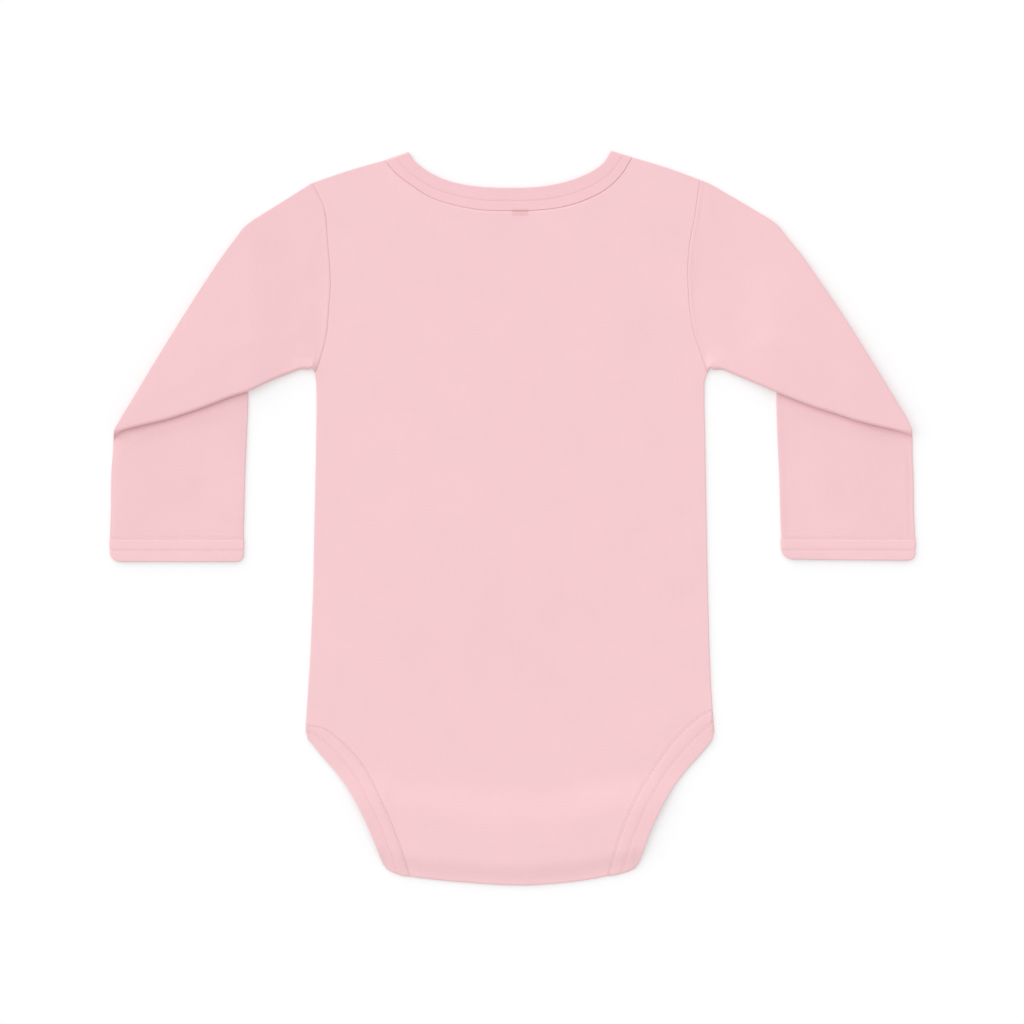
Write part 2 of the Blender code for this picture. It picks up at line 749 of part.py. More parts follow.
def cuff_band(hand, material):
    """A doubled ring at the wrist, a little thicker than the sleeve."""
    sign = -1 if hand == "left" else 1
    ring = sleeve_ring()
    top = FOREARM["y"][-1]
    rows = table(
        "down  wider",
        (0.0, 0.4),
        (0.5 * CUFF, 0.3),
        (CUFF - 2.2, 0.1),
        (CUFF, -1.0),
    )

    def place(column, row, side):
        index, turn, edge = ring[column]
        radius = HOLLOW if side else CUFF_ROUND
        wider = rows["wider"][row]
        outer = FOREARM["outer"][-1] + wider - CUFF_ROUND
        inner = FOREARM["inner"][-1] - wider + CUFF_ROUND
        angle = math.radians(turn)
        x = mix(outer, inner, WIDTH_SHARES[index]) - edge * radius * math.sin(angle)
        return (sign * x, top - rows["down"][row], CUFF_ROUND + radius * math.cos(angle))

    cloth_wall("cuff_band_" + hand, material, len(ring), len(rows["down"]), place, ring=True)


# Snaps ----------------------------------------------------------------------------

def snaps(material):
    """Three fastened snaps in a row across the flap: their caps lie under it."""
    for number in (1, 2, 3):
        x = NECK_X + (number - 2) * SNAP_PITCH
        y = through(CROTCH["x"], CROTCH["y"], x) + SNAP_LINE
        bm = bmesh.new()
        bmesh.ops.create_cone(bm, cap_ends=True, segments=20, radius1=SNAP_RADIUS * 0.8 * MM,
                              radius2=SNAP_RADIUS * MM, depth=SNAP_HEIGHT * MM)
        place = Vector((x, y, SNAP_HEIGHT / 2)) * MM
        bmesh.ops.translate(bm, verts=bm.verts[:], vec=place)
        add_part(f"snap_{number}", bm, material)


# Build ----------------------------------------------------------------------------

for old in list(bpy.data.objects):
    bpy.data.objects.remove(old, do_unlink=True)
PARTS = bpy.data.collections.new("baby_onesie")
bpy.context.scene.collection.children.link(PARTS)

jersey = fabric("pink_jersey", (0.92, 0.60, 0.64), 0.9)
rib = fabric("pink_rib", (0.91, 0.58, 0.63), 0.9)
snap_metal = fabric("snap_metal", (0.90, 0.88, 0.88), 0.35, metallic=0.6)

body_panels(jersey)
for hand_side in ("left", "right"):
    sleeve(hand_side, jersey)
    cuff_band(hand_side, rib)
    leg_band(hand_side, rib)
neck_rib(rib)
snaps(snap_metal)
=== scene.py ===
import math

import bmesh
import bpy
import numpy as np
from mathutils import Matrix, Vector


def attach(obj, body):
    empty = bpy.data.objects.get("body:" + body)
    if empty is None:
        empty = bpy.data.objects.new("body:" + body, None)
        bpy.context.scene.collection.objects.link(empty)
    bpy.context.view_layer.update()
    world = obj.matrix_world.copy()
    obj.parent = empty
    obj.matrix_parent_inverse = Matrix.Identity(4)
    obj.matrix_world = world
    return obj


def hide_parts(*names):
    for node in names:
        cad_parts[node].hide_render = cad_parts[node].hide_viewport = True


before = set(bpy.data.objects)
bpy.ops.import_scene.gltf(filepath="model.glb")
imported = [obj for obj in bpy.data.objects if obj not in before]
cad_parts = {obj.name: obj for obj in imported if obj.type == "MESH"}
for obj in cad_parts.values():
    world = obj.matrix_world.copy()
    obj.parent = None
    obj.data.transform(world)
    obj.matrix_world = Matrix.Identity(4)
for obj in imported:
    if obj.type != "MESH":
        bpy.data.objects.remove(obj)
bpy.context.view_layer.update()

# Back panel -----------------------------------------------------------------------
# One piece of fine cotton jersey from the shoulders to the crotch, where its tab
# folds under to the front.  It lies on top, so its edges at the side seams roll
# down to the front panel.  Sizes here and below are in millimetres.

MM = 0.001
CLOTH = 0.55                      # one layer of jersey
ROUND = 0.9                       # outer radius of an edge where the cloth turns over
HOLLOW = ROUND - CLOTH
MID = ROUND                       # height of the middle of two layers on the table
SQUARE = 0.7                      # below 1, an edge is squarer than a half circle
SEAM_GAP = 0.02                   # between two pieces at a seam
HIP_GAP = 0.06                    # the same at a leg band's upper end
CORNER_GAP = 0.2                  # and between the neck band and a shoulder
SIDE_END = 0.8                    # the last side row, above the leg band's seam
SHOULDER_BOW = 0.55               # how far a shoulder line stands out of straight
LOFT = 0.9                        # how far the back stands up in the middle
LOFT_LOW = (-100.0, -40.0)        # places up the body over which that grows
LOFT_HIGH = (60.0, 165.0)         # and over which it fades again
LAYER = 1.0                       # one layer with the air under it
SEWN_CURVE = 2.6                  # above 2, a sewn edge is squarer than a quarter circle

LEG_BAND = 14.0                   # width of a leg band
FLAP_START = 15.0                 # lower edge of the front flap, up from the crotch fold
FLAP_RISE = 1.1                   # how far the snaps lift the flap
FLAP_LEVEL = 31.0                 # above this line it comes down to the table
TAB_LENGTH = 36.0                 # how far the back's tab reaches under
TAB_TAPER = 2.0                   # how much it narrows at each side
EASE = 21.0                       # length over which the layers settle


def table(columns, *rows):
    """Rows of sizes, read as one array for each named column."""
    return dict(zip(columns.split(), np.array(rows, dtype=float).T))


# Armholes, from the shoulder to the underarm
ARMHOLE = table(
    "left_x  left_y right_x right_y",
    (-110.3, 184.7, 103.0, 186.5),
    (-107.2, 178.8, 102.3, 180.4),
    (-104.5, 173.4, 101.3, 173.8),
    (-102.8, 166.5, 100.4, 166.5),
    (-101.8, 154.0, 97.9, 154.0),
    (-100.6, 140.0, 96.6, 142.0),
    (-100.1, 129.0, 96.5, 131.0),
    (-101.0, 116.5, 97.4, 117.0),
    (-102.3, 101.2, 100.1, 101.2),
    (-104.6, 91.5, 103.3, 92.0),
    (-106.8, 84.5, 105.8, 84.5),
    (-108.8, 80.0, 107.1, 80.0),
)
# Side seams, from the underarm to the hip
SIDE = table(
    "y       left    right",
    (80.0, -108.8, 107.1),
    (75.9, -108.1, 105.8),
    (69.3, -107.9, 105.6),
    (43.0, -108.1, 106.0),
    (0.0, -109.0, 106.7),
    (-45.0, -110.0, 107.6),
    (-78.0, -111.5, 108.6),
    (-100.0, -112.9, 109.7),
    (-113.0, -113.8, 110.9),
)
# Free edge of the leg openings on the back, from the hip to the crotch
LEG = table(
    "y       left    right",
    (-119.0, -114.0, 111.2),
    (-120.6, -113.1, 110.3),
    (-122.4, -111.6, 109.3),
    (-126.5, -108.2, 106.1),
    (-130.9, -104.7, 102.3),
    (-139.7, -97.1, 94.5),
    (-148.5, -90.5, 87.8),
    (-157.3, -85.5, 82.8),
    (-166.1, -81.1, 78.5),
    (-174.9, -77.4, 74.7),
    (-183.7, -73.8, 71.6),
    (-188.5, -71.9, 69.8),
    (-192.0, -70.1, 67.8),
)
FRONT_LEG_END = -178.0            # the front is cut higher than the back
FRONT_LEG_IN = 3.0                # and further in
LEAST_RISE = 1.26                 # of the leg band's seam over its free edge there
# Seam of the leg bands on the back, from the hip to the crotch
LEG_SEAM = table(
    "left_x  left_y  right_x right_y",
    (-113.8, -113.4, 110.1, -104.8),
    (-108.5, -114.1, 104.5, -107.0),
    (-103.4, -115.3, 99.9, -110.2),
    (-99.3, -117.8, 95.8, -113.8),
    (-95.7, -120.8, 91.8, -117.8),
    (-89.9, -126.2, 85.2, -125.2),
    (-84.9, -131.9, 80.2, -132.4),
    (-80.2, -138.6, 74.9, -140.6),
    (-75.7, -147.1, 69.8, -148.8),
    (-71.5, -155.9, 65.4, -157.0),
    (-67.6, -164.5, 61.8, -165.4),
    (-63.9, -173.5, 58.6, -173.8),
    (-60.7, -182.3, 55.6, -182.6),
    (-58.2, -190.0, 53.5, -190.4),
    (-56.3, -197.1, 52.2, -197.3),
)
# The fold at the crotch, from the left to the right
CROTCH = table(
    "x       y",
    (-70.1, -192.0),
    (-68.2, -193.5),
    (-66.0, -194.8),
    (-61.6, -196.1),
    (-56.5, -197.0),
    (-45.1, -198.5),
    (-23.1, -200.5),
    (-1.1, -201.8),
    (9.9, -201.8),
    (20.9, -201.1),
    (42.9, -198.5),
    (56.1, -195.9),
    (62.4, -194.8),
    (65.5, -193.9),
    (67.8, -192.0),
)
# The neck, from the left shoulder to the right: the band's free edge and its seam
# on the back, and the same on the front, which is cut lower
NECK_X = -1.4                     # middle of the garment
NECK = table(
    "free_x free_y seam_x seam_y low_free_x low_free_y low_seam_x low_seam_y",
    (-57.2, 201.7, -70.1, 197.2, -57.2, 201.7, -70.1, 197.2),
    (-53.9, 196.7, -64.9, 190.7, -54.4, 190.0, -65.9, 184.0),
    (-47.3, 191.5, -56.0, 183.6, -50.4, 179.5, -59.9, 171.5),
    (-39.6, 187.4, -44.0, 176.2, -42.9, 169.0, -50.4, 160.0),
    (-28.6, 184.1, -32.0, 172.4, -32.4, 160.8, -37.9, 150.5),
    (-15.0, 182.4, -17.0, 169.7, -18.9, 155.2, -20.9, 143.8),
    (-1.1, 182.0, -1.4, 169.3, -1.4, 153.5, -1.4, 141.5),
    (12.6, 182.4, 14.0, 169.6, 16.1, 155.2, 18.1, 143.8),
    (26.4, 184.6, 28.0, 171.5, 29.6, 160.8, 35.1, 150.5),
    (37.4, 188.1, 41.0, 175.6, 40.1, 169.0, 47.6, 160.0),
    (45.4, 192.1, 52.0, 181.6, 47.6, 179.5, 57.1, 171.5),
    (50.6, 196.3, 60.3, 189.7, 51.6, 190.0, 63.1, 184.0),
    (54.2, 202.3, 65.9, 198.8, 54.2, 202.3, 65.9, 198.8),
)
# Soft creases: start, end, half width and height of each
BACK_CREASES = (
    (-98.5, 98, -100, 86, 2.0, -0.16),
    (98.5, 97, 103, 86, 1.8, -0.16),
    (-104, 92, -70, 118, 5.0, 0.16),
    (-106, 86, -78, 84, 4.0, -0.14),
    (-100, 130, -82, 150, 7.0, 0.12),
    (102, 94, 74, 124, 5.5, 0.15),
    (104, 88, 82, 80, 4.0, -0.14),
    (96, 150, 84, 168, 6.0, 0.1),
    (-60, 160, -20, 128, 12.0, 0.14),
    (66, 150, 30, 118, 12.0, -0.12),
    (-105, -60, -78, -96, 6.0, 0.14),
    (104, -50, 80, -92, 6.5, 0.12),
    (-70, -140, -30, -168, 8.0, -0.12),
    (68, -146, 26, -172, 8.0, 0.12),
    (-40, 40, -22, -50, 18.0, 0.14),
    (52, 20, 40, -90, 16.0, -0.14),
)
# The cloth's broad, slight unevenness: how fast it runs across and down, phase, height
WAVES = (
    (0.031, 0.013, 0.4, 0.12),
    (-0.017, 0.036, 2.1, 0.1),
    (0.052, -0.041, 4.0, 0.05),
    (0.083, 0.062, 1.3, 0.03),
)


def through(knots, values, at):
    """A smooth curve through a table's points, read at one or more places."""
    if knots[0] > knots[-1]:
        knots, values = knots[::-1], values[::-1]
    slopes = np.gradient(values, knots)
    at = np.clip(at, knots[0], knots[-1])
    left = np.clip(np.searchsorted(knots, at, side="right") - 1, 0, len(knots) - 2)
    step = knots[left + 1] - knots[left]
    s = (at - knots[left]) / step
    rise = s * s * (3 - 2 * s)
    start = s * (1 - s) ** 2 * step
    end = -s * s * (1 - s) * step
    between = values[left] + rise * (values[left + 1] - values[left])
    return between + start * slopes[left] + end * slopes[left + 1]


def along(x, y, share):
    """Points at shares of the way along a smooth line through x, y."""
    length = np.concatenate(([0.0], np.cumsum(np.hypot(np.diff(x), np.diff(y)))))
    length /= length[-1]
    return np.stack((through(length, x, share), through(length, y, share)), axis=-1)


def smooth(low, high, value):
    s = np.clip((value - low) / (high - low), 0.0, 1.0)
    return s * s * (3 - 2 * s)


def mix(start, end, share):
    return start + (end - start) * share


def unit(vectors):
    vectors = np.asarray(vectors, dtype=float)
    return vectors / np.linalg.norm(vectors, axis=-1, keepdims=True)


def dip(away, reach, depth):
    """A groove in the cloth, such as at a seam, by the distance from it."""
    return -depth * np.exp(-(away / reach) ** 2)


def rolled_in(away, depth=CLOTH, reach=None):
    """How far the outside of the cloth has come down near a folded or sewn edge.

    It starts so far from the edge as it comes down, or as reach says.
    """
    left = np.clip(1 - away / (reach or depth), 0.0, 1.0)
    return -depth * (1 - (1 - left ** SEWN_CURVE) ** (1 / SEWN_CURVE))


def roll(turn):
    """How far an edge reaches out and up where it has turned so far over, in radii."""
    across, up = np.sin(turn), np.cos(turn)
    return np.sign(across) * np.abs(across) ** SQUARE, np.sign(up) * np.abs(up) ** SQUARE


def crotch_fold(x):
    return through(CROTCH["x"], CROTCH["y"], x)


def front_height(x, y):
    """Height of the middle of the stack for the front: raised over the snaps."""
    return MID + FLAP_RISE * (1 - smooth(FLAP_LEVEL, FLAP_LEVEL + EASE, y - crotch_fold(x)))


def back_height(x, y):
    """The same for the back and its tab: they lie over the flap, then come down."""
    up = y - crotch_fold(x)
    over_flap = smooth(ROUND, FLAP_START - 2, up)
    over_tab = 1 - smooth(TAB_LENGTH + 1, TAB_LENGTH + EASE, up)
    return MID + (front_height(x, y) - MID + LAYER * over_tab) * over_flap


def leg_edge(hand, share, front=False):
    """Free edge of a leg opening, from the hip (0) to the crotch (1)."""
    edge = along(LEG[hand], LEG["y"], share)
    if front:
        hip, crotch = LEG["y"][0], LEG["y"][-1]
        edge[..., 0] += (1 if hand == "left" else -1) * FRONT_LEG_IN * share
        edge[..., 1] = hip + (edge[..., 1] - hip) * (FRONT_LEG_END - hip) / (crotch - hip)
    return edge


def leg_seam(hand, share, front=False, gap=0.0):
    """Seam of a leg band, across the band from its free edge."""
    across = along(LEG_SEAM[hand + "_x"], LEG_SEAM[hand + "_y"], share) - leg_edge(hand, share)
    if front:
        across[..., 1] = np.maximum(across[..., 1], LEAST_RISE)
    return leg_edge(hand, share, front) + across + unit(across) * gap


def neck_line(part, share):
    """A line of the neck, from its left shoulder (-1) over the middle to its right (1)."""
    return along(NECK[part + "_x"], NECK[part + "_y"], (share + 1) / 2)


def shoulder_way(hand):
    """Out of the garment, square to a shoulder line."""
    end = -1 if hand == "right" else 0
    run = abs(ARMHOLE[hand + "_x"][0] - NECK["seam_x"][end])
    fall = NECK["seam_y"][end] - ARMHOLE[hand + "_y"][0]
    return unit(((-1 if hand == "left" else 1) * fall, run))


def armhole(hand, share):
    return along(ARMHOLE[hand + "_x"], ARMHOLE[hand + "_y"], share)


ARMHOLE_LENGTH = ARMHOLE["left_y"][0] - ARMHOLE["left_y"][-1]


def edge_share(share):
    """A share of an armhole between the rounded edges of its sleeve."""
    return mix(ROUND / ARMHOLE_LENGTH, 1 - ROUND / ARMHOLE_LENGTH, share)


def crease_height(creases, x, y):
    """Height that the creases and the cloth's slight unevenness add.

    A crease is highest half way along and fades to about a third at its ends.
    """
    height = np.zeros(np.broadcast(x, y).shape)
    for x0, y0, x1, y1, width, rise in creases:
        run_x, run_y = x1 - x0, y1 - y0
        near = np.clip(((x - x0) * run_x + (y - y0) * run_y) / (run_x ** 2 + run_y ** 2), 0, 1)
        away = np.hypot(x - x0 - run_x * near, y - y0 - run_y * near)
        height += rise * np.exp(-(away / width) ** 2) * (0.35 + 0.65 * np.sin(math.pi * near))
    for across, down, phase, rise in WAVES:
        height += rise * np.sin(across * x + down * y + phase)
    return height


def piece_of(bm, name):
    """A finished bmesh as a smooth piece of the scene."""
    mesh = bpy.data.meshes.new(name)
    bm.to_mesh(mesh)
    bm.free()
    mesh.shade_smooth()
    piece = bpy.data.objects.new(name, mesh)
    bpy.context.scene.collection.objects.link(piece)
    return piece


def sewn_cloth(name, outside, inside, knit, ring=False):
    """A thin closed wall of cloth from the places of its two sides.

    Each is an array of rows of columns, and knit gives the same points' places on
    the flat cloth.  A ring joins its last column to its first, so its knit has
    one column more.
    """
    rows, columns = outside.shape[:2]
    bm = bmesh.new()
    across = columns if ring else columns - 1
    bmesh.ops.create_grid(bm, x_segments=across, y_segments=rows - 1, size=0.5)
    column_of = bm.verts.layers.int.new("column")
    row_of = bm.verts.layers.int.new("row")
    for vert in bm.verts:
        vert[column_of] = round((vert.co.x + 0.5) * across) % columns
        vert[row_of] = round((vert.co.y + 0.5) * (rows - 1))
    if ring:
        for vert in bm.verts:
            angle = 2 * math.pi * vert[column_of] / columns
            vert.co = (math.cos(angle), math.sin(angle), vert[row_of])
        bmesh.ops.remove_doubles(bm, verts=bm.verts[:], dist=0.0001)
    extruded = bmesh.ops.extrude_face_region(bm, geom=bm.faces[:])
    inner = {item for item in extruded["geom"] if isinstance(item, bmesh.types.BMVert)}
    for vert in bm.verts:
        side = inside if vert in inner else outside
        x, y, z = side[vert[row_of], vert[column_of]]
        vert.co = Vector((x, y, max(z, 0.0))) * MM
    bmesh.ops.recalc_face_normals(bm, faces=bm.faces[:])
    if bm.calc_volume(signed=True) < 0:
        bmesh.ops.reverse_faces(bm, faces=bm.faces[:])
    knit_layer = bm.loops.layers.uv.new("knit")
    for face in bm.faces:
        spots = [loop.vert[column_of] for loop in face.loops]
        wraps = ring and max(spots) - min(spots) > 1
        for loop, column in zip(face.loops, spots):
            on_flat = columns if wraps and column == 0 else column
            loop[knit_layer].uv = knit[loop.vert[row_of], on_flat]
    return piece_of(bm, name)


def new_material(name):
    """A material with its nodes, its links and its shader."""
    material = bpy.data.materials.new(name)
    material.use_nodes = True
    tree = material.node_tree
    return material, tree.nodes, tree.links, tree.nodes["Principled BSDF"]


def add_relief(nodes, links, shader, height, strength, depth):
    """Fine relief, depth in metres."""
    bump = nodes.new("ShaderNodeBump")
    bump.inputs["Strength"].default_value = strength
    bump.inputs["Distance"].default_value = depth
    links.new(height, bump.inputs["Height"])
    links.new(bump.outputs[0], shader.inputs["Normal"])


def knitted(name, colour, wale=0.9, course=0.75, relief=0.5):
    """Fine single jersey: columns of small V stitches, slightly uneven in tone, with painted shade
    that makes the hollows between the stitches a little darker.

    wale is the width of a column of stitches, and course the height of a row.
    """
    material, nodes, links, shader = new_material(name)
    shader.inputs["Roughness"].default_value = 0.92
    shader.inputs["Specular IOR Level"].default_value = 0.25
    shader.inputs["Sheen Weight"].default_value = 0.12
    shader.inputs["Sheen Roughness"].default_value = 0.5
    shader.inputs["Sheen Tint"].default_value = (1.0, 0.86, 0.88, 1.0)

    def count(operation, *values):
        made = nodes.new("ShaderNodeMath")
        made.operation = operation
        for socket, value in zip(made.inputs, values):
            if isinstance(value, (int, float)):
                socket.default_value = value
            else:
                links.new(value, socket)
        return made.outputs[0]

    def noise(scale, stretch, detail):
        spread = nodes.new("ShaderNodeMapping")
        spread.inputs["Scale"].default_value = stretch
        links.new(uv.outputs[0], spread.inputs[0])
        made = nodes.new("ShaderNodeTexNoise")
        made.inputs["Scale"].default_value = scale
        made.inputs["Detail"].default_value = detail
        links.new(spread.outputs[0], made.inputs["Vector"])
        return made.outputs["Fac"]

    uv = nodes.new("ShaderNodeUVMap")
    uv.uv_map = "knit"
    split = nodes.new("ShaderNodeSeparateXYZ")
    links.new(uv.outputs[0], split.inputs[0])
    column = count("MULTIPLY", split.outputs[0], 1 / wale)
    row = count("MULTIPLY", split.outputs[1], 1 / course)
    slant = count("PINGPONG", column, 0.5)
    leg = count("SINE", count("MULTIPLY", count("ADD", row, slant), 2 * math.pi))
    rib = count("ABSOLUTE", count("SINE", count("MULTIPLY", column, 2 * math.pi)))
    stitch = count("ADD", count("MULTIPLY", leg, 0.4), rib)
    add_relief(nodes, links, shader, stitch, relief, 0.00012)
    streaks = noise(1.0, (0.9, 0.035, 1.0), 3.0)
    clouds = noise(0.035, (1.0, 1.0, 1.0), 4.0)
    tone = count("ADD", count("MULTIPLY", streaks, 0.35), count("MULTIPLY", clouds, 0.65))
    # painted shade: the stitches' relief height also darkens the colour a little in the hollows
    # between them
    tone = count("ADD", tone, count("MULTIPLY", stitch, 0.03))
    ramp = nodes.new("ShaderNodeValToRGB")
    dark, light = ramp.color_ramp.elements
    dark.position, light.position = 0.25, 0.75
    dark.color = (*(part * 0.975 for part in colour), 1)
    light.color = (*(part * 1.02 for part in colour), 1)
    links.new(tone, ramp.inputs[0])
    links.new(ramp.outputs[0], shader.inputs["Base Color"])
    return material


jersey = knitted("pink jersey", (0.884, 0.577, 0.604))

# The panels' columns and rows, which stand closer together near the seams.  A row is
# (its part of the panel, the share of that part above it, its turn in degrees), but
# a row of the tab has its distance from the crotch fold instead of a share.
NEAR_SEAM = np.array((0.0, 0.1, 0.2, 0.32, 0.46, 0.64, 0.88, 1.25, 1.8, 2.6, 3.6, 5.0))
RIM_TURNS = (90.0, 82.0, 74.0, 66.0, 58.0, 50.0, 42.0, 34.0, 26.0, 18.0, 10.0, 4.0)
SHOULDER_SHARES = np.concatenate((NEAR_SEAM / 38, np.linspace(0.17, 1, 14)))
NECK_SHARES = np.linspace(-1, 1, 71)
FOLD_STEPS = 12                   # rows round the crotch fold
TOP_ROWS = [("arm", 0.0, turn) for turn in RIM_TURNS] + [("arm", 0.0, 0.0)]
TOP_ROWS += [("arm", edge_share(share), 0.0) for share in NEAR_SEAM[1:] / 105]
TOP_ROWS += [("arm", edge_share(share), 0.0) for share in np.linspace(0.065, 1, 44)[:-1]]
TOP_ROWS += [("arm", 1.0, 0.0)]
SIDE_ROWS = [("side", share, 0.0) for share in np.linspace(0, 1, 72)[1:] ** 1.25]
LEG_ROWS = [("leg", share, 0.0) for share in np.linspace(0.0, 1.0, 60) ** 1.1]
FOLD_ROWS = [("tab", ROUND, 180.0 * step / FOLD_STEPS) for step in range(1, FOLD_STEPS + 1)]
TAB_ROWS = [("tab", up, 180.0) for up in np.linspace(2.5, TAB_LENGTH, 18)]


def panel_columns(seam):
    """Of each column of a panel: its point on the top edge, the way out of it, its
    turn at a side, the side's sign, whether it is on the neck, and its share.
    """
    neck = neck_line(seam, NECK_SHARES)
    run = unit(neck[2:] - neck[:-2])
    out = np.stack((-run[:, 1], run[:, 0]), axis=-1)
    middle = [(point - way * SEAM_GAP, way, 0.0, 0, True) for point, way in zip(neck[1:-1], out)]
    sides = []
    for hand, sign, end in (("left", -1, neck[0]), ("right", 1, neck[-1])):
        way = shoulder_way(hand)
        outer = armhole(hand, 0.0)
        slope = np.array((1.0, (end[1] - outer[1]) / (end[0] - outer[0]))) * -sign
        corner, end = outer + slope * (ROUND + SEAM_GAP / 2), end - slope * CORNER_GAP
        rim = [(corner, way, math.radians(turn), sign, False) for turn in RIM_TURNS]
        bow = [mix(corner, end, share) + way * SHOULDER_BOW * math.sin(math.pi * share)
               for share in SHOULDER_SHARES]
        sides.append(rim + [(point, way, 0.0, sign, False) for point in bow])
    columns = sides[0] + middle + sides[1][::-1]
    edge = dict(zip(("top", "way", "turn", "sign", "on_neck"), map(np.array, zip(*columns))))
    x = edge["top"][:, 0]
    edge["share"] = (x - x[0]) / (x[-1] - x[0])
    return edge


def row_ends(kind, value, front):
    """Left and right ends of a panel's row, and 1 where its edges are side seams."""
    if kind == "arm":
        gap = np.array((SEAM_GAP / 2, 0))
        return armhole("left", value) + gap, armhole("right", value) - gap, 0.0
    if kind == "side":
        ends = []
        for hand in ("left", "right"):
            y = mix(SIDE["y"][0], LEG_SEAM[hand + "_y"][0] + SIDE_END, value)
            ends.append(np.array((through(SIDE["y"], SIDE[hand], y), y)))
        return ends[0], ends[1], smooth(SIDE["y"][0], SIDE["y"][1], ends[0][1])
    if kind == "leg":
        gap = SEAM_GAP if value > 0.0 else HIP_GAP
        ends = [leg_seam(hand, value, front, gap) for hand in ("left", "right")]
        return ends[0], ends[1], 1.0 if value == 0.0 else 0.0
    narrower = (TAB_TAPER * value / TAB_LENGTH, 0)
    ends = [leg_seam(hand, 1.0, gap=SEAM_GAP) for hand in ("left", "right")]
    return ends[0] + narrower, ends[1] - narrower, 0.0


# How far the cloth comes down at each seam, and over what width
SEAM_ROLL = {"neck": (0.4, 0.5), "arm": (0.3, 0.9), "side": (0.4, 0.4), "leg": (0.1, 0.6)}
CALM_EDGE = 14.0                  # creases reach their height this far in from a side
CROTCH_BEND = 0.55                # share of the leg openings where rows start to bend


def loft(share, y):
    """The back stands a little off the front, most in the middle of the body."""
    return (1 - (2 * share - 1) ** 2) * smooth(*LOFT_LOW, y) * (1 - smooth(*LOFT_HIGH, y))


def arm_row(edge, value, left, right, widest):
    """x and y of a row between the armholes, which bends up to the neck's seam."""
    top, share = edge["top"], edge["share"]
    settled = smooth(0.0, 1.0, value)
    x = mix(widest[0][0] + ROUND, widest[1][0] - ROUND, share)
    x += (left[0] - widest[0][0]) * mix((1 - share) ** 4, 1 - share, settled)
    x += (right[0] - widest[1][0]) * mix(share ** 4, share, settled)
    bend = (1 - settled) * (top[:, 1] - mix(top[0, 1], top[-1, 1], share))
    return x, mix(left[1], right[1], share) + bend


def panel_row(edge, row, radius, front, creases):
    """Places of one row on the outside (radius ROUND) or inside (HOLLOW) of a panel."""
    kind, value, row_turn = row
    share, sign, on_neck = edge["share"], edge["sign"], edge["on_neck"]
    left, right, at_side = row_ends(kind, value, front)
    out_by, up_by = roll(edge["turn"])
    row_out, row_up = roll(math.radians(row_turn))
    if kind == "arm":
        x, y = arm_row(edge, value, left, right, row_ends("arm", 0.0, front)[:2])
    else:
        x, y = mix(left[0] + ROUND, right[0] - ROUND, share), mix(left[1], right[1], share)
    x = x + mix(ROUND, radius, at_side) * out_by * sign
    up = 1 - at_side * (1 - up_by)
    if kind == "leg":
        ends = mix(crotch_fold(left[0]), crotch_fold(right[0]), share)
        y = y + smooth(CROTCH_BEND, 1.0, value) * (crotch_fold(x) - ends)
        if value == 1.0:
            y = crotch_fold(x) + (FLAP_START if front else ROUND)
    if kind == "tab":
        at_fold = value == ROUND
        y = crotch_fold(x) + value - (radius * row_out if at_fold else 0.0)
        height = MID + 0 * x if at_fold else back_height(x, y)
        return np.stack((x, y, height + radius * row_up), axis=-1)
    if kind == "arm" and value == 0.0:
        way_x, way_y = edge["way"].T
        out = np.where(on_neck, 0.0, radius * row_out - ROUND)
        at_shoulder = way_y * out - np.abs(way_x / way_y) * ROUND * out_by
        x = x + way_x * out
        y = edge["top"][:, 1] + np.where(on_neck, -SEAM_GAP * (1 - row_out), at_shoulder)
        up = up * np.where(on_neck, 1.0, row_up)
    to_side = np.minimum(np.abs(x - left[0]), np.abs(x - right[0]))
    lift = np.maximum(radius * up, SEAM_GAP / 2)
    if radius == ROUND:
        sewn = rolled_in(to_side, *SEAM_ROLL[kind])
        if kind == "arm":
            at_neck = rolled_in(edge["top"][:, 1] - y, *SEAM_ROLL["neck"])
            sewn = np.where(on_neck, np.minimum(sewn, at_neck), sewn)
        lift = lift + sewn * (1 - at_side)
    if front:
        return np.stack((x, y, front_height(x, y) - lift), axis=-1)
    soft = crease_height(creases, x, y) * smooth(0.0, CALM_EDGE, to_side)
    return np.stack((x, y, back_height(x, y) + lift + LOFT * loft(share, y) + soft), axis=-1)


def body_panel(name, seam, rows, front, creases):
    """A body panel: its rows run from the neck down, its columns from side to side."""
    edge = panel_columns(seam)
    share, sign = edge["share"], edge["sign"]
    outside = np.array([panel_row(edge, row, ROUND, front, creases) for row in rows])
    inside = np.array([panel_row(edge, row, HOLLOW, front, creases) for row in rows])
    knit = []
    for (kind, value, _), outer in zip(rows, outside):
        left, right, _ = row_ends(kind, value, front)
        flat_x = mix(left[0], right[0], share) + sign * ROUND * edge["turn"]
        flat_y = crotch_fold(outer[:, 0]) - value if kind == "tab" else outer[:, 1]
        knit.append(np.stack((flat_x, flat_y), axis=-1))
    return sewn_cloth(name, outside, inside, np.array(knit))


back_rows = TOP_ROWS + SIDE_ROWS + LEG_ROWS + FOLD_ROWS + TAB_ROWS
back = body_panel("back_of_jersey", "seam", back_rows, False, BACK_CREASES)
back.data.materials.append(jersey)
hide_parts("back_panel")
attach(back, "root")

# Front panel ----------------------------------------------------------------------
# The same jersey, cut lower at the neck and higher at the legs, lying on the table.
# Its lower edge is the flap that the snaps close under the back's tab.

front = body_panel("front_of_jersey", "low_seam", TOP_ROWS + SIDE_ROWS + LEG_ROWS, True, ())
front.data.materials.append(jersey)
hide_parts("front_panel")
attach(front, "root")

# Neck rib -------------------------------------------------------------------------
# A band of the same jersey, folded double and sewn round the neck in one ring.  Its
# fold is the free edge, and a row of stitches holds it beside its seam.

